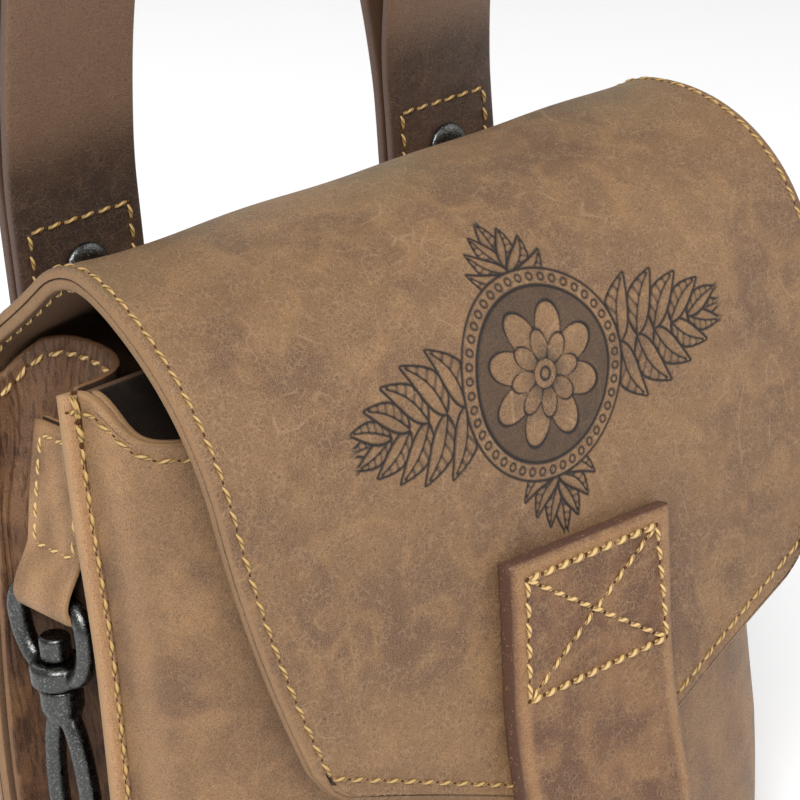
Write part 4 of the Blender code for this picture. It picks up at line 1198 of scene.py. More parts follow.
@dataclass
class Flap:
    """Two leathers sewn together: the flap, and in one piece with it the back."""

    form: BagForm
    side_row: float = 2.3 * MM
    point_row: float = 4.0 * MM
    first_hole: float = 3.34 * MM
    groove: float = 0.22 * MM
    groove_width: float = 0.8 * MM
    curl: float = 1.5 * MM
    curl_reach: float = 15.0 * MM
    grid: float = 1.9 * MM
    shown_leather: float = 2.2 * MM
    shown_layers: float = 4.45 * MM
    edge_gain: float = 0.9 * MM
    tooling: Tooling = field(default_factory=Tooling)

    def outline(self, share: Array, along: Array) -> tuple[Array, Array]:
        """Cut the flat leather.

        Args:
            share: Places of the grid across the body's half span.
            along: Lengths from the ridge, as if the lower edge were straight.

        Returns:
            Flat places inside the side edges and the pointed lower edge.
        """
        form = self.form
        over = along > form.front_arc
        end = form.flap_end(share / form.half_span) + self.edge_gain
        reach = (end - form.front_arc) / (form.tip_at - form.front_arc)
        s = np.where(over, form.front_arc + (along - form.front_arc) * reach, along)
        return share / form.half_span * form.half_width(s), s

    def edge_distance(self, a: Array, b: Array) -> tuple[Array, Array]:
        """Measure how far flat places lie inside the edges.

        Args:
            a: Places across the flap, from its middle.
            b: Lengths from its ridge.

        Returns:
            Distances from the side edge and from the pointed lower edge.
        """
        half = self.form.half_width(b)
        from_side = half - np.abs(a)
        lean = self.form.point_lean
        from_point = (self.form.tip_at - lean * np.abs(a) - b) / math.hypot(1, lean)
        return from_side, from_point

    def shape(self, a: Array, b: Array) -> Array:
        """Height of the leather's own waves, dents and curl above its smooth form."""
        from_side, _ = self.edge_distance(a, b)
        rise = 0.22 * MM * ripple(a, b, 60 * MM, 70 * MM, 4)
        rise = rise * np.clip(from_side / (8 * MM), 0.2, 1)
        inward = np.clip((np.abs(a) - 58 * MM) / (19 * MM), 0, 1) ** 2
        near = bell(b, self.curl_reach)
        return rise + self.curl * inward * near * (a < 0)

    def grooves(self, a: Array, b: Array) -> Array:
        """Depth of the furrows that the stitches pull into the outer face."""
        from_side, from_point = self.edge_distance(a, b)
        side = bell(from_side - self.side_row, self.groove_width)
        point = bell(from_point - self.point_row, self.groove_width)
        side = side * (from_point > self.point_row - self.groove_width)
        point = point * (from_side > self.side_row - self.groove_width)
        return self.groove * np.maximum(side, point)

    def outer(self, a: Array, b: Array, c: Array) -> Array:
        """Point of the outer leather, whose offset is from its face."""
        line, shade = self.tooling.burn(a, b)
        pressed = 0.30 * line + 0.10 * shade
        face = np.clip(1 + c / self.shown_leather, 0, 1)
        offset = c + self.shape(a, b) - face * (self.grooves(a, b) + pressed * MM)
        y, z = self.form.section(b, offset)
        return np.stack([a, y, z], axis=1)

    def smooth(self, a: Array, b: Array, c: Array) -> Array:
        """Point of the flap without its grooves and its design."""
        y, z = self.form.section(b, c + self.shape(a, b))
        return np.stack([a, y, z], axis=1)

    def dress(self, a: Array, b: Array) -> tuple[Array, Array]:
        """Burn of the design and green-grey patina along the ridge."""
        line, shade = self.tooling.burn(a, b)
        clouds = 0.6 + 0.4 * ripple(a, b, 50 * MM, 40 * MM, 8)
        patina = clouds * (0.6 * bell(b - 3 * MM, 14 * MM) + 0.2 * (b < 0))
        return np.clip(line + shade, 0, 1), np.clip(patina, 0, 1)

    def slab_grid(self) -> tuple[list[float], list[float]]:
        """Columns and rows of both leathers, close together at the stitches."""
        form = self.form
        half = form.half_span
        close = [distance * MM for distance in (0.0, 1.9, 2.4, 2.9, 3.5, 4.3, 5.5)]
        inner = stepped(-half + 7 * MM, half - 7 * MM, self.grid)
        columns = [-half + d for d in close] + inner + [half - d for d in reversed(close)]
        tip = form.tip_at
        low = [distance * MM for distance in (8, 6.8, 5.8, 5.0, 4.4, 3.8, 3.2, 2.6, 2.0, 0)]
        rows = stepped(-form.back_length, -form.back_turns, 4 * MM)
        rows += stepped(-form.back_turns, tip - 10 * MM, self.grid)[1:]
        rows += [tip - distance for distance in low]
        return columns, rows

    def side_route(self, side: int, start: float, inside: float) -> Route:
        """Lay out the stitches along one side, down to the row along the point.

        Args:
            side: -1 for the left, 1 for the right.
            start: Length from the ridge to the first hole.
            inside: Distance of the row from the side edge.

        Returns:
            Flat places of the route.
        """
        half = self.form.half_width
        lean = self.form.point_lean
        corner = 110 * MM
        for _ in range(5):
            across = float(half(np.array([corner]))[0]) - inside
            corner = self.form.tip_at - self.point_row * math.hypot(1, lean) - lean * across
        places = np.linspace(start, corner, 24)
        return [(side * float(half(np.array([s]))[0] - inside), float(s)) for s in places]

    def build(self) -> None:
        """Make both leathers and their stitches."""
        form = self.form
        columns, rows = self.slab_grid()
        outer = Slab(
            "flap_leather", columns, rows, -self.shown_leather, self.shown_leather, self.outer,
            outline=self.outline, rounding=1.5 * MM, fine=self.tooling.covers, dress=self.dress,
        )
        finish_piece(outer.mesh(), FLAP_HIDE, "flap_outer")
        lining = Slab(
            "flap_lining_leather", columns, rows, -self.shown_layers, self.shown_leather, self.smooth,
            outline=self.outline, rounding=0.5 * MM, under=1.0 * MM,
        )
        finish_piece(lining.mesh(), SPLIT_HIDE, "flap_lining")
        sewing = Needlework("flap_seam")
        tip = (0.0, form.tip_at - self.point_row * math.hypot(1, form.point_lean))
        for level, outward, surface in (
            (-self.groove, 1.0, self.smooth), (-self.shown_layers, -1.0, self.smooth),
        ):
            for side in (-1, 1):
                route = self.side_route(side, self.first_hole, self.side_row)
                sewing.rows.append(StitchRow(surface, route, level, outward))
                sewing.rows.append(StitchRow(surface, [route[-1], tip], level, outward))
        for side in (-1, 1):
            places = np.linspace(self.first_hole, -form.back_length + 4 * MM, 30)
            half = form.half_width(places) - self.side_row
            route = [(side * float(x), float(s)) for x, s in zip(half, places)]
            sewing.rows.append(StitchRow(self.smooth, route, -self.groove))
            inner = StitchRow(self.smooth, route[:12], -self.shown_layers, -1.0, width=0.65 * MM)
            sewing.rows.append(inner)
        sewing.build()


@dataclass
class FrontPocket:
    """Front pocket wall with its side lips, its facing, the divider behind it and the base."""

    form: BagForm
    facing_leather: float = 2.0 * MM
    divider_leather: float = 1.8 * MM
    lip_sweep: float = math.radians(8)
    dip: Table = (
        (1.5, 0.0), (4.0, 0.7), (6.0, 2.4), (8.4, 6.0), (10.5, 7.9), (13.5, 8.7), (17.0, 8.7), (26.0, 8.0),
    )
    facing_width: float = 16.0 * MM
    flap_clearance: float = 0.6 * MM
    fold_radius: float = 1.6 * MM
    lip_shown: float = 4.0 * MM
    mouth_row: float = 3.0 * MM
    seam_row: float = 0.9 * MM
    furrow: float = 0.25 * MM
    furrow_width: float = 0.8 * MM
    gusset_leather: float = 1.6 * MM
    welt: float = 1.0 * MM
    divider_drop: float = 0.8 * MM
    sections: Table = (
        (0.00, 0.95, 2.30), (0.20, 1.00, 2.30), (0.42, 1.00, 2.30), (0.62, 0.94, 2.35), (0.79, 0.83, 2.40),
        (1.00, 0.69, 2.40),
    )

    def __post_init__(self) -> None:
        """Work out the arc's length at the pocket's middle height."""
        angle = np.linspace(0, math.pi, 721)
        half_way = np.full_like(angle, self.form.seam_height / 2)
        wall = self.wall(angle, half_way, self.form.leather / 2)
        self.angles = angle
        self.lengths = run_lengths(wall)
        self.half_arc = float(self.lengths[-1]) / 2

    def depth(self, height: Array) -> Array:
        """Depth of the wall's outer face in front of the seams."""
        form = self.form
        own = (form.body_depth - form.rear_depth) * read_table(self.sections, height / form.seam_height, 1)
        return np.minimum(own, form.seam_y - form.flap_inner_y(height) - self.flap_clearance)

    def wall(self, angle: Array, height: Array, inset: float) -> Array:
        """Find points of the wall.

        Args:
            angle: From 0 at the left seam to pi at the right one.
            height: Heights above the ground.
            inset: Inwards from the outer face.

        Returns:
            Points, one for each angle.
        """
        form = self.form
        power = 2 / read_table(self.sections, height / form.seam_height, 2)
        span = form.half_span - max(inset - form.leather / 2, 0.0)
        x = -span * signed_power(np.cos(angle), power)
        y = form.seam_y - (self.depth(height) - inset) * np.abs(np.sin(angle)) ** power
        return np.stack([x, y, height], axis=1)

    def mouth(self, y: Array) -> Array:
        """Height of the top edge, which dips in front of the seams."""
        return self.form.seam_height - MM * read_table(self.dip, (self.form.seam_y - y) / MM, 1)

    def plan(self, a: Array, height: Array, inset: float) -> Array:
        """Find points of the wall and its lips, before its corners are rounded.

        Args:
            a: Lengths from the front's middle, with the lips past the seams.
            height: Heights above the ground.
            inset: Inwards from the outer face.

        Returns:
            Points, one for each length.
        """
        inside = np.clip(a + self.half_arc, 0, 2 * self.half_arc)
        spots = self.wall(np.interp(inside, self.lengths, self.angles), height, inset)
        past = np.clip(np.abs(a) - self.half_arc, 0, None)
        spots[:, 0] += np.sign(a) * past * math.cos(self.lip_sweep)
        spots[:, 1] += past * math.sin(self.lip_sweep)
        return spots

    def middle(self, a: Array, height: Array) -> Array:
        """Middle of the wall's leather, with its corners rounded at the seams."""
        inset = self.form.leather / 2
        spots = blurred(lambda at: self.plan(at, height, inset), a, self.fold_radius)
        near = smoothstep(1 - (self.half_arc - np.abs(a)) / (22 * MM))
        spots[:, 0] -= np.sign(a) * near * self.form.seam_pull(height)
        bulge = 0.35 * MM * ripple(a, height, 45 * MM, 60 * MM, 11)
        spots[:, 1] += bulge * np.clip((self.half_arc - np.abs(a)) / (12 * MM), 0, 1)
        return spots

    def top_at(self, a: Array) -> Array:
        """Height of the top edge at a length from the front's middle."""
        guess = self.plan(a, np.full_like(a, self.form.seam_height), self.form.leather / 2)
        return self.mouth(guess[:, 1])

    def worn(self, a: Array, b: Array, c: Array) -> Array:
        """Point of the wall, with the furrows of its stitches and the crease beside each seam."""
        face = np.clip(0.5 + c / self.form.leather, 0, 1)
        drop, beside = self.top_at(a) - b, np.abs(a) - self.half_arc
        mouth = bell(drop - self.mouth_row, self.furrow_width)
        seam = bell(beside - self.seam_row, self.furrow_width)
        crease = bell(beside + 1.1 * MM, 0.45 * MM) * smoothstep((drop - 15 * MM) / (40 * MM))
        depth = self.furrow * np.maximum(mouth, seam) + 2.4 * self.furrow * crease
        return offset_from(self.middle)(a, b, c - face * depth)

    def dress(self, a: Array, b: Array) -> tuple[Array, Array]:
        """No burn, and a paler tone where hands rub the lips and the fold at each seam."""
        beside = np.abs(a) - self.half_arc
        pale = 0.9 * smoothstep((beside + 1.5 * MM) / (2.5 * MM))
        fold = 0.45 * bell(beside + 9 * MM, 4 * MM)
        return np.zeros_like(a), np.maximum(pale, fold)

    def build(self) -> None:
        """Make the pocket's pieces and their stitches."""
        form = self.form
        outer = self.half_arc + self.lip_shown
        near = (-4.0, -3.0, -2.3, -1.8, -1.4, -1.0, -0.6, -0.2, 0.3, 0.8, 1.3, 1.8, 2.3, 2.7)
        fold = [self.half_arc + shift * MM for shift in near]
        columns = stepped(-fold[0], fold[0], 1.9 * MM)
        columns = [-outer] + [-place for place in reversed(fold[1:])] + columns + fold[1:] + [outer]
        foot, tall = form.wall_foot, form.seam_height - form.wall_foot
        drops = (9.0, 7.5, 6.2, 5.2, 4.4, 3.8, 3.3, 2.8, 2.3, 1.8, 1.4, 0.0)
        rows = stepped(0.0, 0.93, 0.0145) + [1 - drop * MM / tall for drop in drops]

        def cut(a: Array, share: Array) -> tuple[Array, Array]:
            """Stretch the rows up to the mouth's edge."""
            return a, foot + share * (self.top_at(a) - foot)

        wall = Slab(
            "pocket_leather", columns, rows, -form.leather / 2, form.leather, self.worn, outline=cut,
            rounding=1.15 * MM, dress=self.dress,
        )
        finish_piece(wall.mesh(), BODY_HIDE, "pocket_front")

        clear = 2.4 * MM
        inner = stepped(-self.half_arc + clear, self.half_arc - clear, 1.6 * MM)
        skin = offset_from(self.middle)

        def strip(a: Array, drop: Array) -> tuple[Array, Array]:
            """Hang the facing from the mouth's edge."""
            return a, self.top_at(a) - drop

        facing = Slab(
            "facing_leather", inner, [self.facing_width, *(drop * MM for drop in (12, 8, 5, 3, 1.8, 0))],
            -form.leather / 2 - 0.12 * MM - self.facing_leather, self.facing_leather, skin, outline=strip,
            rounding=0.5 * MM, under=0.9 * MM,
        )
        finish_piece(facing.mesh(), BODY_HIDE, "pocket_facing")
        self.build_divider()
        self.build_base()
        self.sew(skin)

    def build_divider(self) -> None:
        """Make the wall behind the pocket, against the gussets' lips, and sew its top edge."""
        form = self.form
        half = form.half_span - form.leather / 2 - 0.4 * MM
        top = form.seam_height - self.divider_drop
        step = (form.leather + self.gusset_leather) / 2 + form.gap
        front = form.seam_y + step * math.cos(self.lip_sweep)
        place = front - self.gusset_leather / 2 - form.gap - self.divider_leather / 2

        def upright(a: Array, b: Array, c: Array) -> Array:
            """Point of the divider, which bellies a little between the seams."""
            belly = 0.5 * MM * np.cos(math.pi * a / (2 * half)) * np.sin(math.pi * b / top)
            return np.stack([a, place - c + belly, b], axis=1)

        slab = Slab(
            "divider_leather", stepped(-half, half, 4 * MM),
            stepped(form.wall_foot, top - 4 * MM, 5 * MM) + [top - 2 * MM, top - 1 * MM, top],
            -self.divider_leather / 2, self.divider_leather, upright, rounding=0.5 * MM,
        )
        # The divider's near-black colour is painted shade for the dark inside of the mouth
        finish_piece(slab.mesh(), DIVIDER_SHADE_HIDE, "divider")
        sewing = Needlework("divider_seam")
        route = [(-half + 4 * MM, top - 2.6 * MM), (half - 4 * MM, top - 2.6 * MM)]
        for outward in (1.0, -1.0):
            level = outward * (self.divider_leather / 2 - 0.42 * MM)
            sewing.rows.append(StitchRow(upright, route, level, outward, width=0.5 * MM))
        sewing.build()

    def build_base(self) -> None:
        """Make the flat bottom: a round front under the pocket and a straight rear."""
        form = self.form
        angle = np.linspace(0, math.pi, 49)
        front = self.wall(angle, np.full_like(angle, form.wall_foot), -self.welt)
        front[:, 0] *= 1 + (self.welt + form.leather / 2) / form.half_span
        corner = form.back_width / 2 + self.welt
        bm = bmesh.new()
        rim = [bm.verts.new((x, y, 0)) for x, y, _ in front]
        rim += [bm.verts.new((x, form.back_y, 0)) for x in (corner, -corner)]
        thicken(bm, [bm.faces.new(rim)], form.base_thickness)
        edges = [edge for edge in bm.edges if edge.calc_face_angle(0.0) > RIM_ANGLE]
        bmesh.ops.bevel(
            bm, geom=edges, offset=0.7 * MM, segments=3, profile=0.5, affect="EDGES", material=-1
        )
        finish_piece(as_mesh(bm, "base_leather"), CREASED_HIDE, "base_panel")

    def sew(self, skin: Surface) -> None:
        """Sew the mouth's edge and both side seams, and tack their tops.

        Args:
            skin: Surface of the pocket's wall.
        """
        form = self.form
        face = form.leather / 2
        sewing = Needlework("pocket_seam")
        reach = self.half_arc + self.lip_shown - 0.8 * MM
        places = np.linspace(-reach, reach, 90)
        route = [(float(a), float(z) - self.mouth_row) for a, z in zip(places, self.top_at(places))]
        sewing.rows.append(StitchRow(skin, route, face - self.furrow))
        for side in (-1, 1):
            line = side * (self.half_arc + self.seam_row)
            top = form.seam_height
            tack_foot, bound = top - 5.2 * MM, top - 9.8 * MM
            for index in range(6):
                over = side * (index - 2.5)
                tack = [(line + 0.40 * MM * over, top + 0.5 * MM), (line + 0.24 * MM * over, tack_foot)]
                sewing.rows.append(StitchRow(skin, tack, face, pitch=8 * MM, width=0.75 * MM))
            binding = [(line, tack_foot), (line, bound)]
            sewing.rows.append(StitchRow(skin, binding, face, pitch=8 * MM, width=1.3 * MM))
            route = [(line, bound), (line, form.wall_foot + 3 * MM)]
            seam = StitchRow(skin, route, face - self.furrow, width=1.0 * MM, slant=0.16 * side)
            sewing.rows.append(seam)
        sewing.build()


@dataclass
class SideWall:
    """Creased gusset of the rear compartment, with the tab that holds the snap hook."""

    form: BagForm
    pocket: FrontPocket
    side: Side
    leather: float = 1.6 * MM
    fold: float = 15.0 * MM
    fold_radius: float = 1.2 * MM
    roundness: float = 3.6
    ear_rise: float = 1.2 * MM
    ear_rear_drop: float = 1.0 * MM
    ear_flare: float = 1.5
    lip_shown: float = 2.8 * MM
    lip_drop: float = 3.0 * MM
    tab_leather: float = 1.7 * MM
    tab_width: float = 16.4 * MM
    tab_setback: float = 22.6 * MM
    tab_drop: float = 13.7 * MM
    tab_length: float = 32.2 * MM
    tab_flare: float = 11.0 * MM
    tab_bearing: float = 2.0 * MM
    wire: float = 1.8 * MM
    play: float = 0.3 * MM
    eye_width: float = 27.2 * MM
    eye_offset: float = 1.4 * MM
    collar_drop: float = 16.2 * MM
    collar_tall: float = 5.2 * MM
    crease: float = 0.17 * MM
    sections: Table = (
        (0.00, 0.35), (0.12, 0.70), (0.30, 0.86), (0.48, 0.84), (0.60, 0.62), (0.70, 0.40), (0.78, 0.42),
        (0.88, 0.64), (0.95, 0.84), (1.04, 1.00),
    )

    def __post_init__(self) -> None:
        """Work out the fold's places and its length at half height."""
        form = self.form
        self.step = (form.leather + self.leather) / 2 + form.gap
        self.front_y = form.seam_y + self.step * math.cos(self.pocket.lip_sweep)
        self.back_y = form.back_y - form.layers - form.gap - self.leather / 2
        self.front_x = form.half_span - self.step * math.sin(self.pocket.lip_sweep)
        angle = np.linspace(0, math.pi, 721)
        self.angles = angle
        self.lengths = run_lengths(self.wall(angle, np.full_like(angle, 0.4 * form.seam_height)))
        self.tab_y = form.back_y - self.tab_setback
        self.eye_y = self.tab_y + self.eye_offset
        self.tab_top = form.seam_height - self.tab_drop
        self.bar_height = self.tab_top - self.tab_length

    def wall(self, angle: Array, height: Array) -> Array:
        """Find points of the left fold.

        Args:
            angle: From 0 at the side seam to pi at the back.
            height: Heights above the ground.

        Returns:
            Points in the middle of the leather.
        """
        behind = smoothstep(-np.cos(angle)) * smoothstep((height / self.form.seam_height - 0.91) / 0.07)
        power = 2 / (self.roundness - self.ear_flare * behind)
        middle = (self.front_y + self.back_y) / 2
        y = middle - (self.back_y - self.front_y) / 2 * signed_power(np.cos(angle), power)
        share = (y - self.front_y) / (self.back_y - self.front_y)
        back_edge = self.form.back_half_width(height) - self.leather / 2
        edge = self.front_x + (back_edge - self.front_x) * share
        depth = self.fold * read_table(self.sections, height / self.form.seam_height, 1)
        return np.stack([-edge + depth * np.abs(np.sin(angle)) ** power, y, height], axis=1)

    def plan(self, a: Array, height: Array) -> Array:
        """Find points of the left gusset, before its corners are rounded.

        Args:
            a: Lengths behind the side seam, with the lip at lengths below 0.
            height: Heights above the ground.

        Returns:
            Points in the middle of the leather.
        """
        inside = np.clip(a, 0, self.lengths[-1])
        spots = self.wall(np.interp(inside, self.lengths, self.angles), height)
        past = np.clip(-a, 0, None)
        spots[:, 0] -= past * math.cos(self.pocket.lip_sweep)
        spots[:, 1] += past * math.sin(self.pocket.lip_sweep)
        return spots

    def middle(self, a: Array, height: Array) -> Array:
        """Middle of the gusset's leather, on this side of the bag."""
        end = self.lengths[-1]
        spots = blurred(lambda at: self.plan(np.minimum(at, end), height), a, self.fold_radius)
        spots[:, 0] += self.form.seam_pull(height) * smoothstep(1 - a / (8 * MM))
        spots[:, 0] *= -self.side.value
        return spots

    def ear(self, y: Array) -> Array:
        """Height of the top edge, which rises behind the seam and falls to the back."""
        share = (y - self.front_y) / (self.back_y - self.front_y)
        own = self.form.seam_height + self.ear_rise * np.sin(math.pi * np.clip(share, 0, 1))
        own = own - self.ear_rear_drop * smoothstep(share)
        under = self.form.flap_inner_height(y + self.leather / 2)
        return np.minimum(own, under)

    def creased(self, a: Array, b: Array, c: Array) -> Array:
        """Point of the gusset with the upright creases of its folded leather."""
        smooth = offset_from(self.middle, float(self.side.value))
        sway = 0.9 * MM * np.sin(b / (7 * MM) + 2 * np.sin(b / (19 * MM)))
        folds = ripple(
            a + sway, b, 1.9 * MM, 22 * MM, 21
        ) + 0.7 * ripple(a + sway, b, 4.6 * MM, 40 * MM, 22)
        fade = smoothstep(a / (4 * MM)) * (0.55 + 0.45 * ripple(a, b, 30 * MM, 30 * MM, 23))
        return smooth(a, b, c + self.crease * folds * fade)

    def dress(self, a: Array, b: Array) -> tuple[Array, Array]:
        """No burn, and a tan tone on the ear."""
        return np.zeros_like(a), smoothstep((b / self.form.seam_height - 0.84) / 0.12)

    def face_x(self, height: float, middle: float, width: float) -> float:
        """Find the outermost face of the left gusset at a height.

        Args:
            height: Height above the ground.
            middle: Y in the middle of the stretch that counts.
            width: Width of that stretch.

        Returns:
            The face's X.
        """
        angle = np.linspace(0, math.pi, 61)
        spots = self.wall(angle, np.full_like(angle, height))
        near = np.abs(spots[:, 1] - middle) <= width / 2
        return float(spots[near, 0].min()) - self.leather / 2

    def tab_inner_x(self, height: float) -> float:
        """Place of the tab's middle where it lies on the left gusset."""
        face = self.face_x(height, self.tab_y, self.tab_width + 2 * self.tab_bearing)
        return face - self.form.gap - self.tab_leather / 2

    def eye_x(self) -> float:
        """Place of the left eye's bar."""
        in_fold = self.tab_inner_x(self.bar_height) - self.tab_leather / 2 - self.play - self.wire
        collar_top = self.bar_height - self.collar_drop + self.collar_tall / 2
        heights = [collar_top + (self.bar_height - collar_top) * share / 4 for share in range(5)]
        faces = [self.face_x(height, self.eye_y, self.eye_width) for height in heights]
        return min(in_fold, min(faces) - self.form.gap - self.wire)

    def tab_line(self) -> Array:
        """Middle line of the tab, as (x, z): down the gusset, round the bar and up again."""
        fold = self.wire + self.play + self.tab_leather / 2
        layer = self.tab_leather + self.form.gap
        bar_x, bar_z = self.eye_x(), self.bar_height
        flare_top = bar_z + self.tab_flare
        path = [(self.tab_inner_x(z), z) for z in np.linspace(self.tab_top, bar_z, 15)[:-1]]
        for angle in np.linspace(0, -math.pi, 25):
            path.append((bar_x + fold * math.cos(angle), bar_z + fold * math.sin(angle)))
        flat = self.tab_inner_x(flare_top) - layer
        for share in np.linspace(0, 1, 13)[1:]:
            ease = float(smoothstep(np.array([share]))[0])
            path.append((bar_x - fold + (flat - bar_x + fold) * ease, bar_z + self.tab_flare * share))
        for z in np.linspace(flare_top, self.tab_top, 13)[1:]:
            path.append((self.tab_inner_x(float(z)) - layer, float(z)))
        return np.array(path)

    def build(self) -> None:
        """Make the gusset, the tab and their stitches."""
        form, word = self.form, self.side.word
        columns = [-self.lip_shown] + [shift * MM for shift in (-2.0, -1.4, -0.8, -0.4)]
        columns += stepped(0.0, self.lengths[-1] - 0.9 * MM, 0.5 * MM) + [self.lengths[-1]]
        foot = form.wall_foot

        def cut(a: Array, share: Array) -> tuple[Array, Array]:
            """Stretch the rows up to the ear's edge."""
            y = self.plan(np.maximum(a, 0), np.full_like(a, form.seam_height))[:, 1]
            top = self.ear(y) - self.lip_drop * smoothstep(0.5 - a / (1.2 * MM))
            return a, foot + share * (top - foot)

        rows = stepped(0.0, 0.95, 0.012) + [0.96, 0.968, 0.975, 0.981, 0.987, 0.992, 1.0]
        gusset = Slab(
            f"gusset_leather_{word}", columns, rows, -self.leather / 2, self.leather, self.creased,
            outline=cut, rounding=0.7 * MM, dress=self.dress,
        )
        finish_piece(gusset.mesh(), CREASED_HIDE, f"gusset_{word}")
        sewing = Needlework(f"side_seam_{word}", pale=True)
        places = np.linspace(1.5 * MM, self.lengths[-1] - 2 * MM, 40)
        y = self.plan(places, np.full_like(places, form.seam_height))[:, 1]
        ear_route = [(float(a), float(z) - 3.2 * MM) for a, z in zip(places, self.ear(y))]
        skin = offset_from(self.middle, float(self.side.value))
        sewing.rows.append(StitchRow(skin, ear_route, self.leather / 2 - 0.1 * MM, width=1.0 * MM))
        self.build_tab(sewing)
        sewing.build()

    def tab_dress(self, a: Array, b: Array) -> tuple[Array, Array]:
        """No burn, and the paler tone of a tab that is much handled."""
        return np.zeros_like(a), 0.5 + 0.2 * ripple(a, b, 12 * MM, 12 * MM, 51)

    def build_tab(self, sewing: Needlework) -> None:
        """Make the tab and its box of stitches.

        Args:
            sewing: Needlework that gets the box.
        """
        line = self.tab_line()
        length = float(run_lengths(line)[-1])
        turn = -self.side.value

        def strip(a: Array, b: Array) -> Array:
            """Middle of the tab's leather."""
            x, z = hang(b, line)
            return np.stack([turn * x, self.tab_y + a, z], axis=1)

        skin = offset_from(strip, float(self.side.value))
        half = self.tab_width / 2
        columns = edged(half, 1.3 * MM, 1.2 * MM)
        rows = [0.0, *stepped(1.3 * MM, length - 1.3 * MM, 0.9 * MM), length]
        tab = Slab(
            f"tab_leather_{self.side.word}", columns, rows, -self.tab_leather / 2, self.tab_leather, skin,
            rounding=0.9 * MM, dress=self.tab_dress,
        )
        finish_piece(tab.mesh(), BODY_HIDE, f"tab_{self.side.word}")
        inside, ahead = half - 2.9 * MM, half - 1.2 * MM
        top, low = length - 2.4 * MM, length - 23.6 * MM
        face = self.tab_leather / 2
        for route in (
            [(-ahead, low), (inside, low)], [(inside, low), (inside, top)], [(inside, top), (-ahead, top)],
            [(-ahead, top), (-ahead, low)],
        ):
            sewing.rows.append(StitchRow(skin, route, face - 0.15 * MM, width=0.8 * MM))


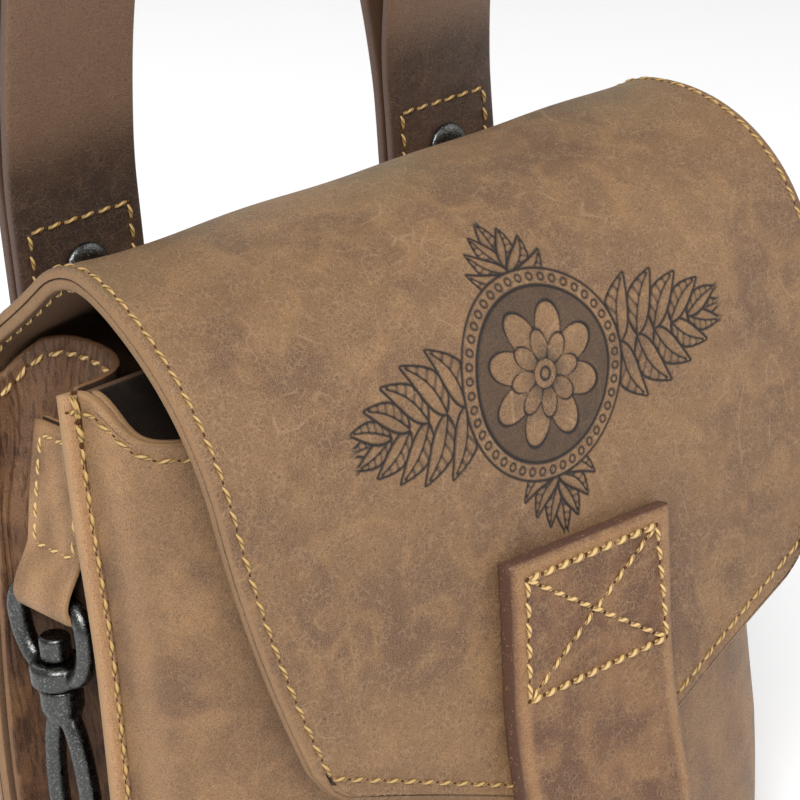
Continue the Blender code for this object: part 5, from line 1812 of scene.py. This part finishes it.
@dataclass
class SnapHook:
    """Cast swivel snap hook: an eye with a collar, and a post with a closed hook."""

    wall: SideWall
    bar_half: float = 6.4 * MM
    shoulder_tall: float = 5.6 * MM
    arm_radius: float = 2.3 * MM
    arm_inset: float = 0.9 * MM
    collar_radius: float = 5.6 * MM
    collar_chamfer: float = 0.9 * MM
    foot_depth: float = 2.7 * MM
    foot_spread: float = 3.9 * MM
    post: float = 1.7 * MM
    head_radius: float = 3.1 * MM
    head_tall: float = 4.9 * MM
    barrel_radius: float = 4.3 * MM
    barrel_tall: float = 7.5 * MM
    taper_tall: float = 3.0 * MM
    barrel_end: float = 3.2 * MM
    ring_wire: float = 2.2 * MM
    ring_wide: float = 16.6 * MM
    ring_top: float = 13.9 * MM
    ring_tall: float = 36.0 * MM
    sink: float = 1.3 * MM
    ring_power: float = 0.8
    voxel: float = 0.32 * MM

    def __post_init__(self) -> None:
        """Work out the heights of the collar's faces, and the side's word for the names."""
        wall = self.wall
        self.word = wall.side.word
        self.collar_low = wall.bar_height - wall.collar_drop - wall.collar_tall / 2
        self.collar_high = self.collar_low + wall.collar_tall

    def bent_wire(self, bm: BMesh, path: list[Vector], radii: list[float]) -> None:
        """Add a round wire along a path to a bmesh.

        Args:
            bm: Bmesh that gets the wire.
            path: Points of the wire's middle line, which starts and ends at one point if closed.
            radii: Radius of the wire at each point.
        """
        closed = (path[0] - path[-1]).length < 0.001 * MM
        if closed:
            path, radii = path[:-1], radii[:-1]
        curve = bpy.data.curves.new("wire", "CURVE")
        curve.dimensions = "3D"
        curve.bevel_depth = 1.0
        curve.bevel_resolution = 5
        curve.use_fill_caps = not closed
        spline = curve.splines.new("POLY")
        spline.points.add(len(path) - 1)
        for point, spot, radius in zip(spline.points, path, radii):
            point.co = (*spot, 1.0)
            point.radius = radius
        spline.use_cyclic_u = closed
        mesh = as_shown(placed("wire", curve))
        bm.from_mesh(mesh)
        bpy.data.meshes.remove(mesh)

    def cast(self, bm: BMesh, name: str, body: str, node: str) -> None:
        """Fuse the shapes as a casting, soften its edges and put it in its place.

        Args:
            bm: Overlapping closed shapes round the hook's axis.
            name: Name of the piece.
            body: Body that carries it.
            node: Solid that it stands for.
        """
        bmesh.ops.recalc_face_normals(bm, faces=bm.faces[:])
        holder = placed("casting", as_mesh(bm, "casting"))
        remesh = holder.modifiers.new("fuse", "REMESH")
        remesh.mode = "VOXEL"
        remesh.voxel_size = self.voxel
        fused = as_shown(holder)
        bm = bmesh.new()
        bm.from_mesh(fused)
        bpy.data.meshes.remove(fused)
        for _ in range(3):
            bmesh.ops.smooth_vert(
                bm, verts=bm.verts[:], factor=0.5, use_axis_x=True, use_axis_y=True, use_axis_z=True
            )
        x = -self.wall.side.value * self.wall.eye_x()
        bmesh.ops.translate(bm, verts=bm.verts[:], vec=(x, self.wall.eye_y, 0))
        finish_piece(as_mesh(bm, name), CAST_ZINC, node, body)

    def build(self) -> None:
        """Make the eye and the hook."""
        self.build_eye()
        self.build_hook()

    def build_eye(self) -> None:
        """Cast the bar with its arms and the drilled collar."""
        wall = self.wall
        half = wall.eye_width / 2 - self.arm_radius
        foot = self.collar_high - self.foot_depth
        shoulder = wall.bar_height - self.shoulder_tall
        right = []
        for angle in np.linspace(0, math.pi / 2, 13):
            y = self.bar_half + (half - self.bar_half) * math.sin(angle)
            right.append((y, shoulder + self.shoulder_tall * math.cos(angle), math.sin(angle) ** 2))
        for share in np.linspace(0, 1, 17)[1:]:
            inward = (half - self.foot_spread) * (1 - math.cos(math.pi / 2 * share))
            z = shoulder + (foot - shoulder) * math.sin(math.pi / 2 * share)
            right.append((half - inward, z, 1 - 0.3 * share))
        line = [(-y, z, 0.6 * fat) for y, z, fat in reversed(right)]
        line += [(y - self.arm_inset * fat, z, fat) for y, z, fat in right]
        out = wall.side.value * (self.arm_radius - wall.wire)
        radii = [wall.wire + (self.arm_radius - wall.wire) * fat for _, _, fat in line]
        bm = bmesh.new()
        self.bent_wire(bm, [Vector((out * fat, y, z)) for y, z, fat in line], radii)
        bore = self.post + wall.play
        low, high, rim = self.collar_low, self.collar_high, self.collar_radius
        chamfer = self.collar_chamfer
        ring = [
            (bore, low),
            (rim - chamfer, low),
            (rim, low + chamfer),
            (rim, high - chamfer),
            (rim - chamfer, high),
            (bore, high),
            (bore, low),
        ]
        spun(bm, ring, (0, 0, 1), 40)
        self.cast(bm, f"cast_eye_{self.word}", f"eye_{self.word}", f"hook_eye_{self.word}")

    def build_hook(self) -> None:
        """Cast the post with its head, the barrel and the closed hook."""
        head_foot = self.collar_high + self.wall.play
        shoulder = self.collar_low - self.wall.play
        head = head_foot + self.head_tall
        profile = [
            (0, head - 0.4 * MM),
            (self.head_radius - 1.1 * MM, head),
            (self.head_radius - 0.5 * MM, head),
            (self.head_radius, head - 0.5 * MM),
            (self.head_radius, head_foot),
            (self.post, head_foot),
            (self.post, shoulder),
            (self.barrel_radius - 0.4 * MM, shoulder),
            (self.barrel_radius, shoulder - 0.4 * MM),
            (self.barrel_radius, shoulder - self.barrel_tall + self.taper_tall),
            (self.barrel_end, shoulder - self.barrel_tall),
            (0, shoulder - self.barrel_tall),
        ]
        bm = bmesh.new()
        spun(bm, profile, (0, 0, 1), 40)
        top = shoulder - self.barrel_tall + self.sink
        bottom = top - self.ring_tall + self.ring_wire
        half = self.ring_wide / 2 - self.ring_wire
        top_half = self.ring_top / 2 - self.ring_wire
        path = []
        for angle in np.linspace(0, math.tau, 65):
            drop = (1 - math.cos(angle)) / 2
            reach = top_half + (half - top_half) * drop
            turned = math.copysign(abs(math.sin(angle)) ** self.ring_power, math.sin(angle))
            path.append(Vector((0, reach * turned, top + (bottom - top) * drop)))
        self.bent_wire(bm, path, [self.ring_wire] * len(path))
        self.cast(bm, f"cast_hook_{self.word}", f"hook_{self.word}", f"hook_{self.word}")


@dataclass
class ClosingStrap:
    """Thick strap sewn to the flap with a crossed box, and the stud that holds its lower end."""

    form: BagForm
    pocket: FrontPocket
    width: float = 43.0 * MM
    thickness: float = 4.6 * MM
    shown_thickness: float = 4.1 * MM
    shown_top: float = 0.7 * MM
    overlap: float = 58.7 * MM
    leave: float = 2.0 * MM
    end_height: float = 14.0 * MM
    stud_height: float = 28.0 * MM
    cap_radius: float = 5.5 * MM
    cap_tall: float = 2.6 * MM
    post_radius: float = 2.4 * MM
    foot_radius: float = 6.5 * MM
    foot_thickness: float = 1.4 * MM
    box: Table = ((-17.95, 4.1), (17.1, 3.7), (19.2, 27.4), (-18.4, 27.3))
    box_pitch: float = 3.75 * MM
    sway: Table = (
        (0.0, 2.8), (13.5, 1.2), (21.0, 0.2), (29.0, -0.9), (41.0, -1.4), (58.0, -0.6), (75.0, 0.0),
    )
    lean: float = 0.05

    def depths(self, low: float, high: float) -> Array:
        """Depths of the pocket's outer face at heights from low to high."""
        return self.pocket.depth(np.linspace(low, high, 9))

    def line(self) -> Array:
        """Middle line of the strap, as (y, z): on the flap, then in to the pocket."""
        form = self.form
        offset = form.gap + self.thickness / 2
        top = form.tip_at - self.overlap
        along = np.linspace(top, form.tip_at + self.leave, 40)
        y, z = form.section(along, np.full_like(along, offset))
        path = list(zip(y, z))
        leave_y, leave_z = path[-1]
        rest_z = self.stud_height + self.cap_radius
        depth = float(self.depths(self.end_height, rest_z).max())
        rest_y = form.seam_y - depth - offset - form.gap
        drop = leave_z - rest_z
        for t in np.linspace(0, 1, 15)[1:]:
            ease = float(smoothstep(np.array([t]))[0])
            bend = (t**3 - 2 * t**2 + t) * -drop / math.tan(form.front_turn)
            path.append((leave_y + (rest_y - leave_y) * ease + bend, leave_z - drop * t))
        path += [(rest_y, self.stud_height), (rest_y, self.end_height)]
        return np.array(path)

    def build(self) -> None:
        """Make the strap, its stitches and its stud."""
        line = self.line()
        length = float(run_lengths(line)[-1])
        top_end = self.overlap

        def strip(a: Array, b: Array) -> Array:
            """Middle of the strap, whose sewn part sways a little."""
            y, z = hang(b + self.lean * a * (1 - smoothstep(b / top_end)), line)
            return np.stack([a + MM * read_table(self.sway, b / MM, 1), y, z], axis=1)

        skin = offset_from(strip, -1.0)
        half = self.width / 2
        rim = [half - 3.2 * MM, half - 2.5 * MM, half - 1.9 * MM, half - 1.3 * MM, half]
        inner = stepped(-half + 4.2 * MM, half - 4.2 * MM, 1.7 * MM)
        columns = [-place for place in reversed(rim)] + inner + rim
        start = self.shown_top
        rows = [start + shift * MM for shift in (0, 1.3, 1.9, 2.5, 3.2)]
        rows += stepped(start + 4.2 * MM, length - 2 * MM, 1.7 * MM) + [length]
        low = -self.thickness / 2
        level = low + self.shown_thickness

        def shaped(a: Array, b: Array, c: Array) -> Array:
            """Face with the pared border of the strap and its furrows."""
            near = np.minimum(half - np.abs(a), b - start)
            border = 0.45 * MM * np.clip(1 - near / (2.6 * MM), 0, 1) ** 1.5
            face = np.clip((c - low) / self.shown_thickness, 0, 1)
            waves = 0.1 * MM * ripple(a, b, 14 * MM, 16 * MM, 31)
            return skin(a, b, c + face * (waves - border))

        def dress(a: Array, b: Array) -> tuple[Array, Array]:
            """No burn, and a polished pale border inside the edges."""
            near = np.minimum(half - np.abs(a), b - start)
            return np.zeros_like(a), bell(near - 2.0 * MM, 1.5 * MM)

        strap = Slab(
            "strap_leather", columns, rows, low, self.shown_thickness, shaped, rounding=0.7 * MM,
            dress=dress,
        )
        finish_piece(strap.mesh(), BRIDLE_LEATHER, "closing_strap")
        sewing = Needlework("strap_box", pale=True)
        corners = [(across * MM, along * MM) for across, along in self.box]
        for start, end, width in (
            (0, 1, 1.3), (3, 2, 1.2), (0, 2, 1.05), (3, 1, 0.8), (0, 3, 0.95), (1, 2, 0.95),
        ):
            route = [corners[start], corners[end]]
            row = StitchRow(skin, route, level, pitch=self.box_pitch, width=width * MM)
            sewing.rows.append(row)
        sewing.build()
        self.build_stud(line)

    def build_stud(self, line: Array) -> None:
        """Turn the stud: a foot inside the pocket, a post and a domed cap.

        Args:
            line: Middle line of the strap, as (y, z).
        """
        wall = self.depths(self.stud_height - self.foot_radius, self.stud_height + self.foot_radius)
        foot = self.form.seam_y - float(wall.min()) + self.form.leather + 2 * self.form.gap
        cap = float(line[-1, 0]) - self.thickness / 2 - 0.3 * MM
        profile = [
            (0, foot + self.foot_thickness),
            (self.foot_radius - 0.4 * MM, foot + self.foot_thickness),
            (self.foot_radius, foot + self.foot_thickness - 0.4 * MM),
            (self.foot_radius, foot),
            (self.post_radius, foot),
            (self.post_radius, cap),
        ]
        profile += domed(self.cap_radius, self.cap_tall, cap, -1)
        turn_piece("strap_stud_turned", profile, (0, self.stud_height), "strap_stud")


def domed(radius: float, tall: float, foot: float, direction: int) -> Profile:
    """Draw the profile of a domed cap with a rounded rim.

    Args:
        radius: Radius of the cap.
        tall: Height of the dome.
        foot: Place of the cap's flat side.
        direction: 1 or -1, the way that the dome points.

    Returns:
        Pairs of a radius and a place, from the rim to the pole.
    """
    rim = 0.25 * tall
    points = [(radius - 0.25 * MM, foot), (radius, foot + direction * 0.25 * MM)]
    for angle in np.linspace(0, math.pi / 2, 10):
        place = foot + direction * (rim + (tall - rim) * math.sin(angle))
        points.append((radius * math.cos(angle), place))
    return points


def turn_piece(name: str, profile: Profile, centre: tuple[float, float], node: str) -> None:
    """Turn a metal piece round an axis along Y.

    Args:
        name: Name of the piece.
        profile: (radius, Y) pairs from one pole to the other.
        centre: X and Z of the axis.
        node: Solid that it stands for.
    """
    bm = bmesh.new()
    spun(bm, profile, (0, 1, 0), 48)
    bmesh.ops.recalc_face_normals(bm, faces=bm.faces[:])
    bmesh.ops.translate(bm, verts=bm.verts[:], vec=(centre[0], 0, centre[1]))
    finish_piece(as_mesh(bm, name), CAST_ZINC, node)


@dataclass
class BeltLoop:
    """One leather strip whose legs are riveted together behind the flap."""

    form: BagForm
    side: Side
    spacing: float = 96.0 * MM
    width: float = 30.0 * MM
    leather: float = 2.6 * MM
    foot_drop: float = 75.0 * MM
    throat_drop: float = 1.0 * MM
    opening: float = 60.0 * MM
    bulge: float = 26.0 * MM
    throat_length: float = 5.0 * MM
    spread_power: float = 1.7
    rivet_drop: float = 14.5 * MM
    cap_radius: float = 5.2 * MM
    cap_tall: float = 2.0 * MM
    shaft: float = 1.6 * MM
    box_half: float = 11.9 * MM
    box_top_drop: float = 4.3 * MM
    box_tall: float = 24.0 * MM

    def __post_init__(self) -> None:
        """Work out the place between the legs, and how far from it each leg's middle lies."""
        self.middle_y = self.form.back_y + self.form.gap + self.leather + self.form.gap / 2
        self.half_stack = (self.leather + self.form.gap) / 2

    def line(self) -> Array:
        """Middle line of the loop, as (y, z): up the front leg, over the top and down behind."""
        foot = self.form.ridge_height - self.foot_drop
        throat = self.form.ridge_height - self.throat_drop
        top_radius = self.bulge / 2 - self.leather / 2
        apex = throat + self.throat_length
        centre = apex + self.opening - top_radius
        tangent = math.asin((top_radius - self.half_stack) / (centre - apex))
        front = [(self.half_stack, z) for z in np.linspace(foot, throat, 12)]
        end = (top_radius * math.cos(tangent), centre - top_radius * math.sin(tangent))
        for share in np.linspace(0, 1, 25)[1:-1]:
            spread = (end[0] - self.half_stack) * share**self.spread_power
            front.append((self.half_stack + spread, throat + (end[1] - throat) * share))
        for angle in np.linspace(-tangent, math.pi / 2, 25)[:-1]:
            front.append((top_radius * math.cos(angle), centre + top_radius * math.sin(angle)))
        back = [(-gap, z) for gap, z in reversed(front)]
        line = front + [(0.0, centre + top_radius)] + back
        return np.array([(self.middle_y - gap, z) for gap, z in line])

    def build(self) -> None:
        """Make the loop, its box of stitches and its rivet."""
        line = self.line()
        length = float(run_lengths(line)[-1])
        middle = self.side.value * self.spacing / 2

        def strip(a: Array, b: Array) -> Array:
            """Middle of the loop's leather."""
            y, z = hang(b, line)
            return np.stack([middle + a, y, z], axis=1)

        skin = offset_from(strip)
        half = self.width / 2

        def shaped(a: Array, b: Array, c: Array) -> Array:
            """Leather with soft waves and a rounded border."""
            near = half - np.abs(a)
            border = 0.3 * MM * np.clip(1 - near / (2.2 * MM), 0, 1) ** 2
            face = np.clip(2 * np.abs(c) / self.leather, 0, 1) * np.sign(c)
            waves = 0.1 * MM * ripple(a, b, 16 * MM, 22 * MM, 41 + self.side.value)
            return skin(a, b, c + waves - face * border)

        def dress(a: Array, b: Array) -> tuple[Array, Array]:
            """No burn, and paler leather above the riveted legs: partly patina, partly painted shade left
            darker on the legs low behind the flap.
            """
            above = np.minimum(b, length - b) - self.foot_drop
            return np.zeros_like(a), smoothstep(above / (22 * MM))

        columns = edged(half, 1.2 * MM, 1.8 * MM)
        name = self.side.word
        loop = Slab(
            f"loop_leather_{name}", columns, [
                0.0, *stepped(1.2 * MM, length - 1.2 * MM, 2.0 * MM), length
            ],
            -self.leather / 2, self.leather, shaped, rounding=0.7 * MM, under=0.7 * MM, dress=dress,
        )
        finish_piece(loop.mesh(), OILED_LEATHER, f"belt_loop_{name}")
        sewing = Needlework(f"loop_box_{name}")
        top = self.foot_drop - self.box_top_drop
        low = top - self.box_tall
        face = self.leather / 2
        for start, turn in ((0.0, 1.0), (length, -1.0)):
            high_b, low_b = start + turn * top, start + turn * low
            for route in (
                [(-self.box_half, high_b), (self.box_half, high_b)],
                [(-self.box_half, low_b), (self.box_half, low_b)],
                [(-self.box_half, high_b), (-self.box_half, low_b)],
                [(self.box_half, high_b), (self.box_half, low_b)],
            ):
                sewing.rows.append(StitchRow(skin, route, face, pitch=4.1 * MM))
        sewing.build()
        reach = self.half_stack + self.leather / 2 + 0.3 * MM
        front = domed(self.cap_radius, self.cap_tall, self.middle_y - reach, -1)
        rear = domed(self.cap_radius, self.cap_tall, self.middle_y + reach, 1)
        shaft = [(self.shaft, self.middle_y - reach), (self.shaft, self.middle_y + reach)]
        profile = list(reversed(front)) + shaft + rear
        centre = (middle, self.form.ridge_height - self.rivet_drop)
        turn_piece(f"rivet_turned_{name}", profile, centre, f"rivet_{name}")


@dataclass
class Studio:
    """Pale floor, soft lights and the camera of the photograph."""

    floor_size: float = 6.0
    floor_colour: str = "ffffff"
    world: float = 0.5
    aim_height: float = 110 * MM

    def floor(self) -> None:
        """Lay the floor."""
        bm = bmesh.new()
        bmesh.ops.create_grid(bm, x_segments=1, y_segments=1, size=self.floor_size)
        mesh = as_mesh(bm, "floor")
        material, _, shader = new_material("white_paper")
        set_inputs(shader, {"Base Color": linear(self.floor_colour), "Roughness": 0.9})
        mesh.materials.append(material)
        placed("floor", mesh)

    def lamp(self, name: str, at: tuple[float, float, float], size: float, power: float) -> None:
        """Hang a square soft light that points at the bag's middle.

        Args:
            name: Name of the light.
            at: Its place.
            size: Length of its side.
            power: Its power in watts.
        """
        data = bpy.data.lights.new(name, "AREA")
        data.size = size
        data.energy = power
        lamp = placed(name, data)
        lamp.location = at
        aim = Vector((0, 0, self.aim_height)) - Vector(at)
        lamp.rotation_euler = aim.to_track_quat("-Z", "Y").to_euler()

    def camera(self) -> None:
        """Set up the photograph's camera."""
        look, up = Vector(CAMERA_LOOK).normalized(), Vector(CAMERA_UP)
        right = look.cross(up).normalized()
        up = right.cross(look)
        data = bpy.data.cameras.new("photo_camera")
        data.lens = CAMERA_LENS
        data.sensor_width = SENSOR_WIDTH
        data.clip_start = 0.02
        data.clip_end = 20
        camera = placed("photo_camera", data)
        turn = Matrix((right, up, -look)).transposed().to_4x4()
        camera.matrix_world = Matrix.Translation(CAMERA_AT) @ turn
        bpy.context.scene.camera = camera

    def build(self) -> None:
        """Set up the stage."""
        self.camera()
        self.floor()
        self.lamp("key_light", (-0.62, -0.62, 0.95), 0.55, 13.0)
        self.lamp("fill_light", (0.9, -0.7, 0.6), 0.9, 4.0)
        self.lamp("rim_light", (0.1, 0.9, 0.9), 0.8, 4.0)
        world = bpy.data.worlds.new("studio")
        world.use_nodes = True
        sky = world.node_tree.nodes["Background"]
        set_inputs(sky, {"Color": (1, 1, 1, 1), "Strength": self.world})
        bpy.context.scene.world = world
        bpy.context.scene.view_settings.view_transform = "Standard"


def main() -> None:
    """Build every sub-assembly in order."""
    logging.basicConfig(level=logging.INFO, format="%(message)s")
    Studio().build()
    form = BagForm()
    Flap(form).build()
    pocket = FrontPocket(form)
    pocket.build()
    ClosingStrap(form, pocket).build()
    for side in Side:
        wall = SideWall(form, pocket, side)
        wall.build()
        SnapHook(wall).build()
        BeltLoop(form, side).build()


if __name__ == "__main__":
    main()
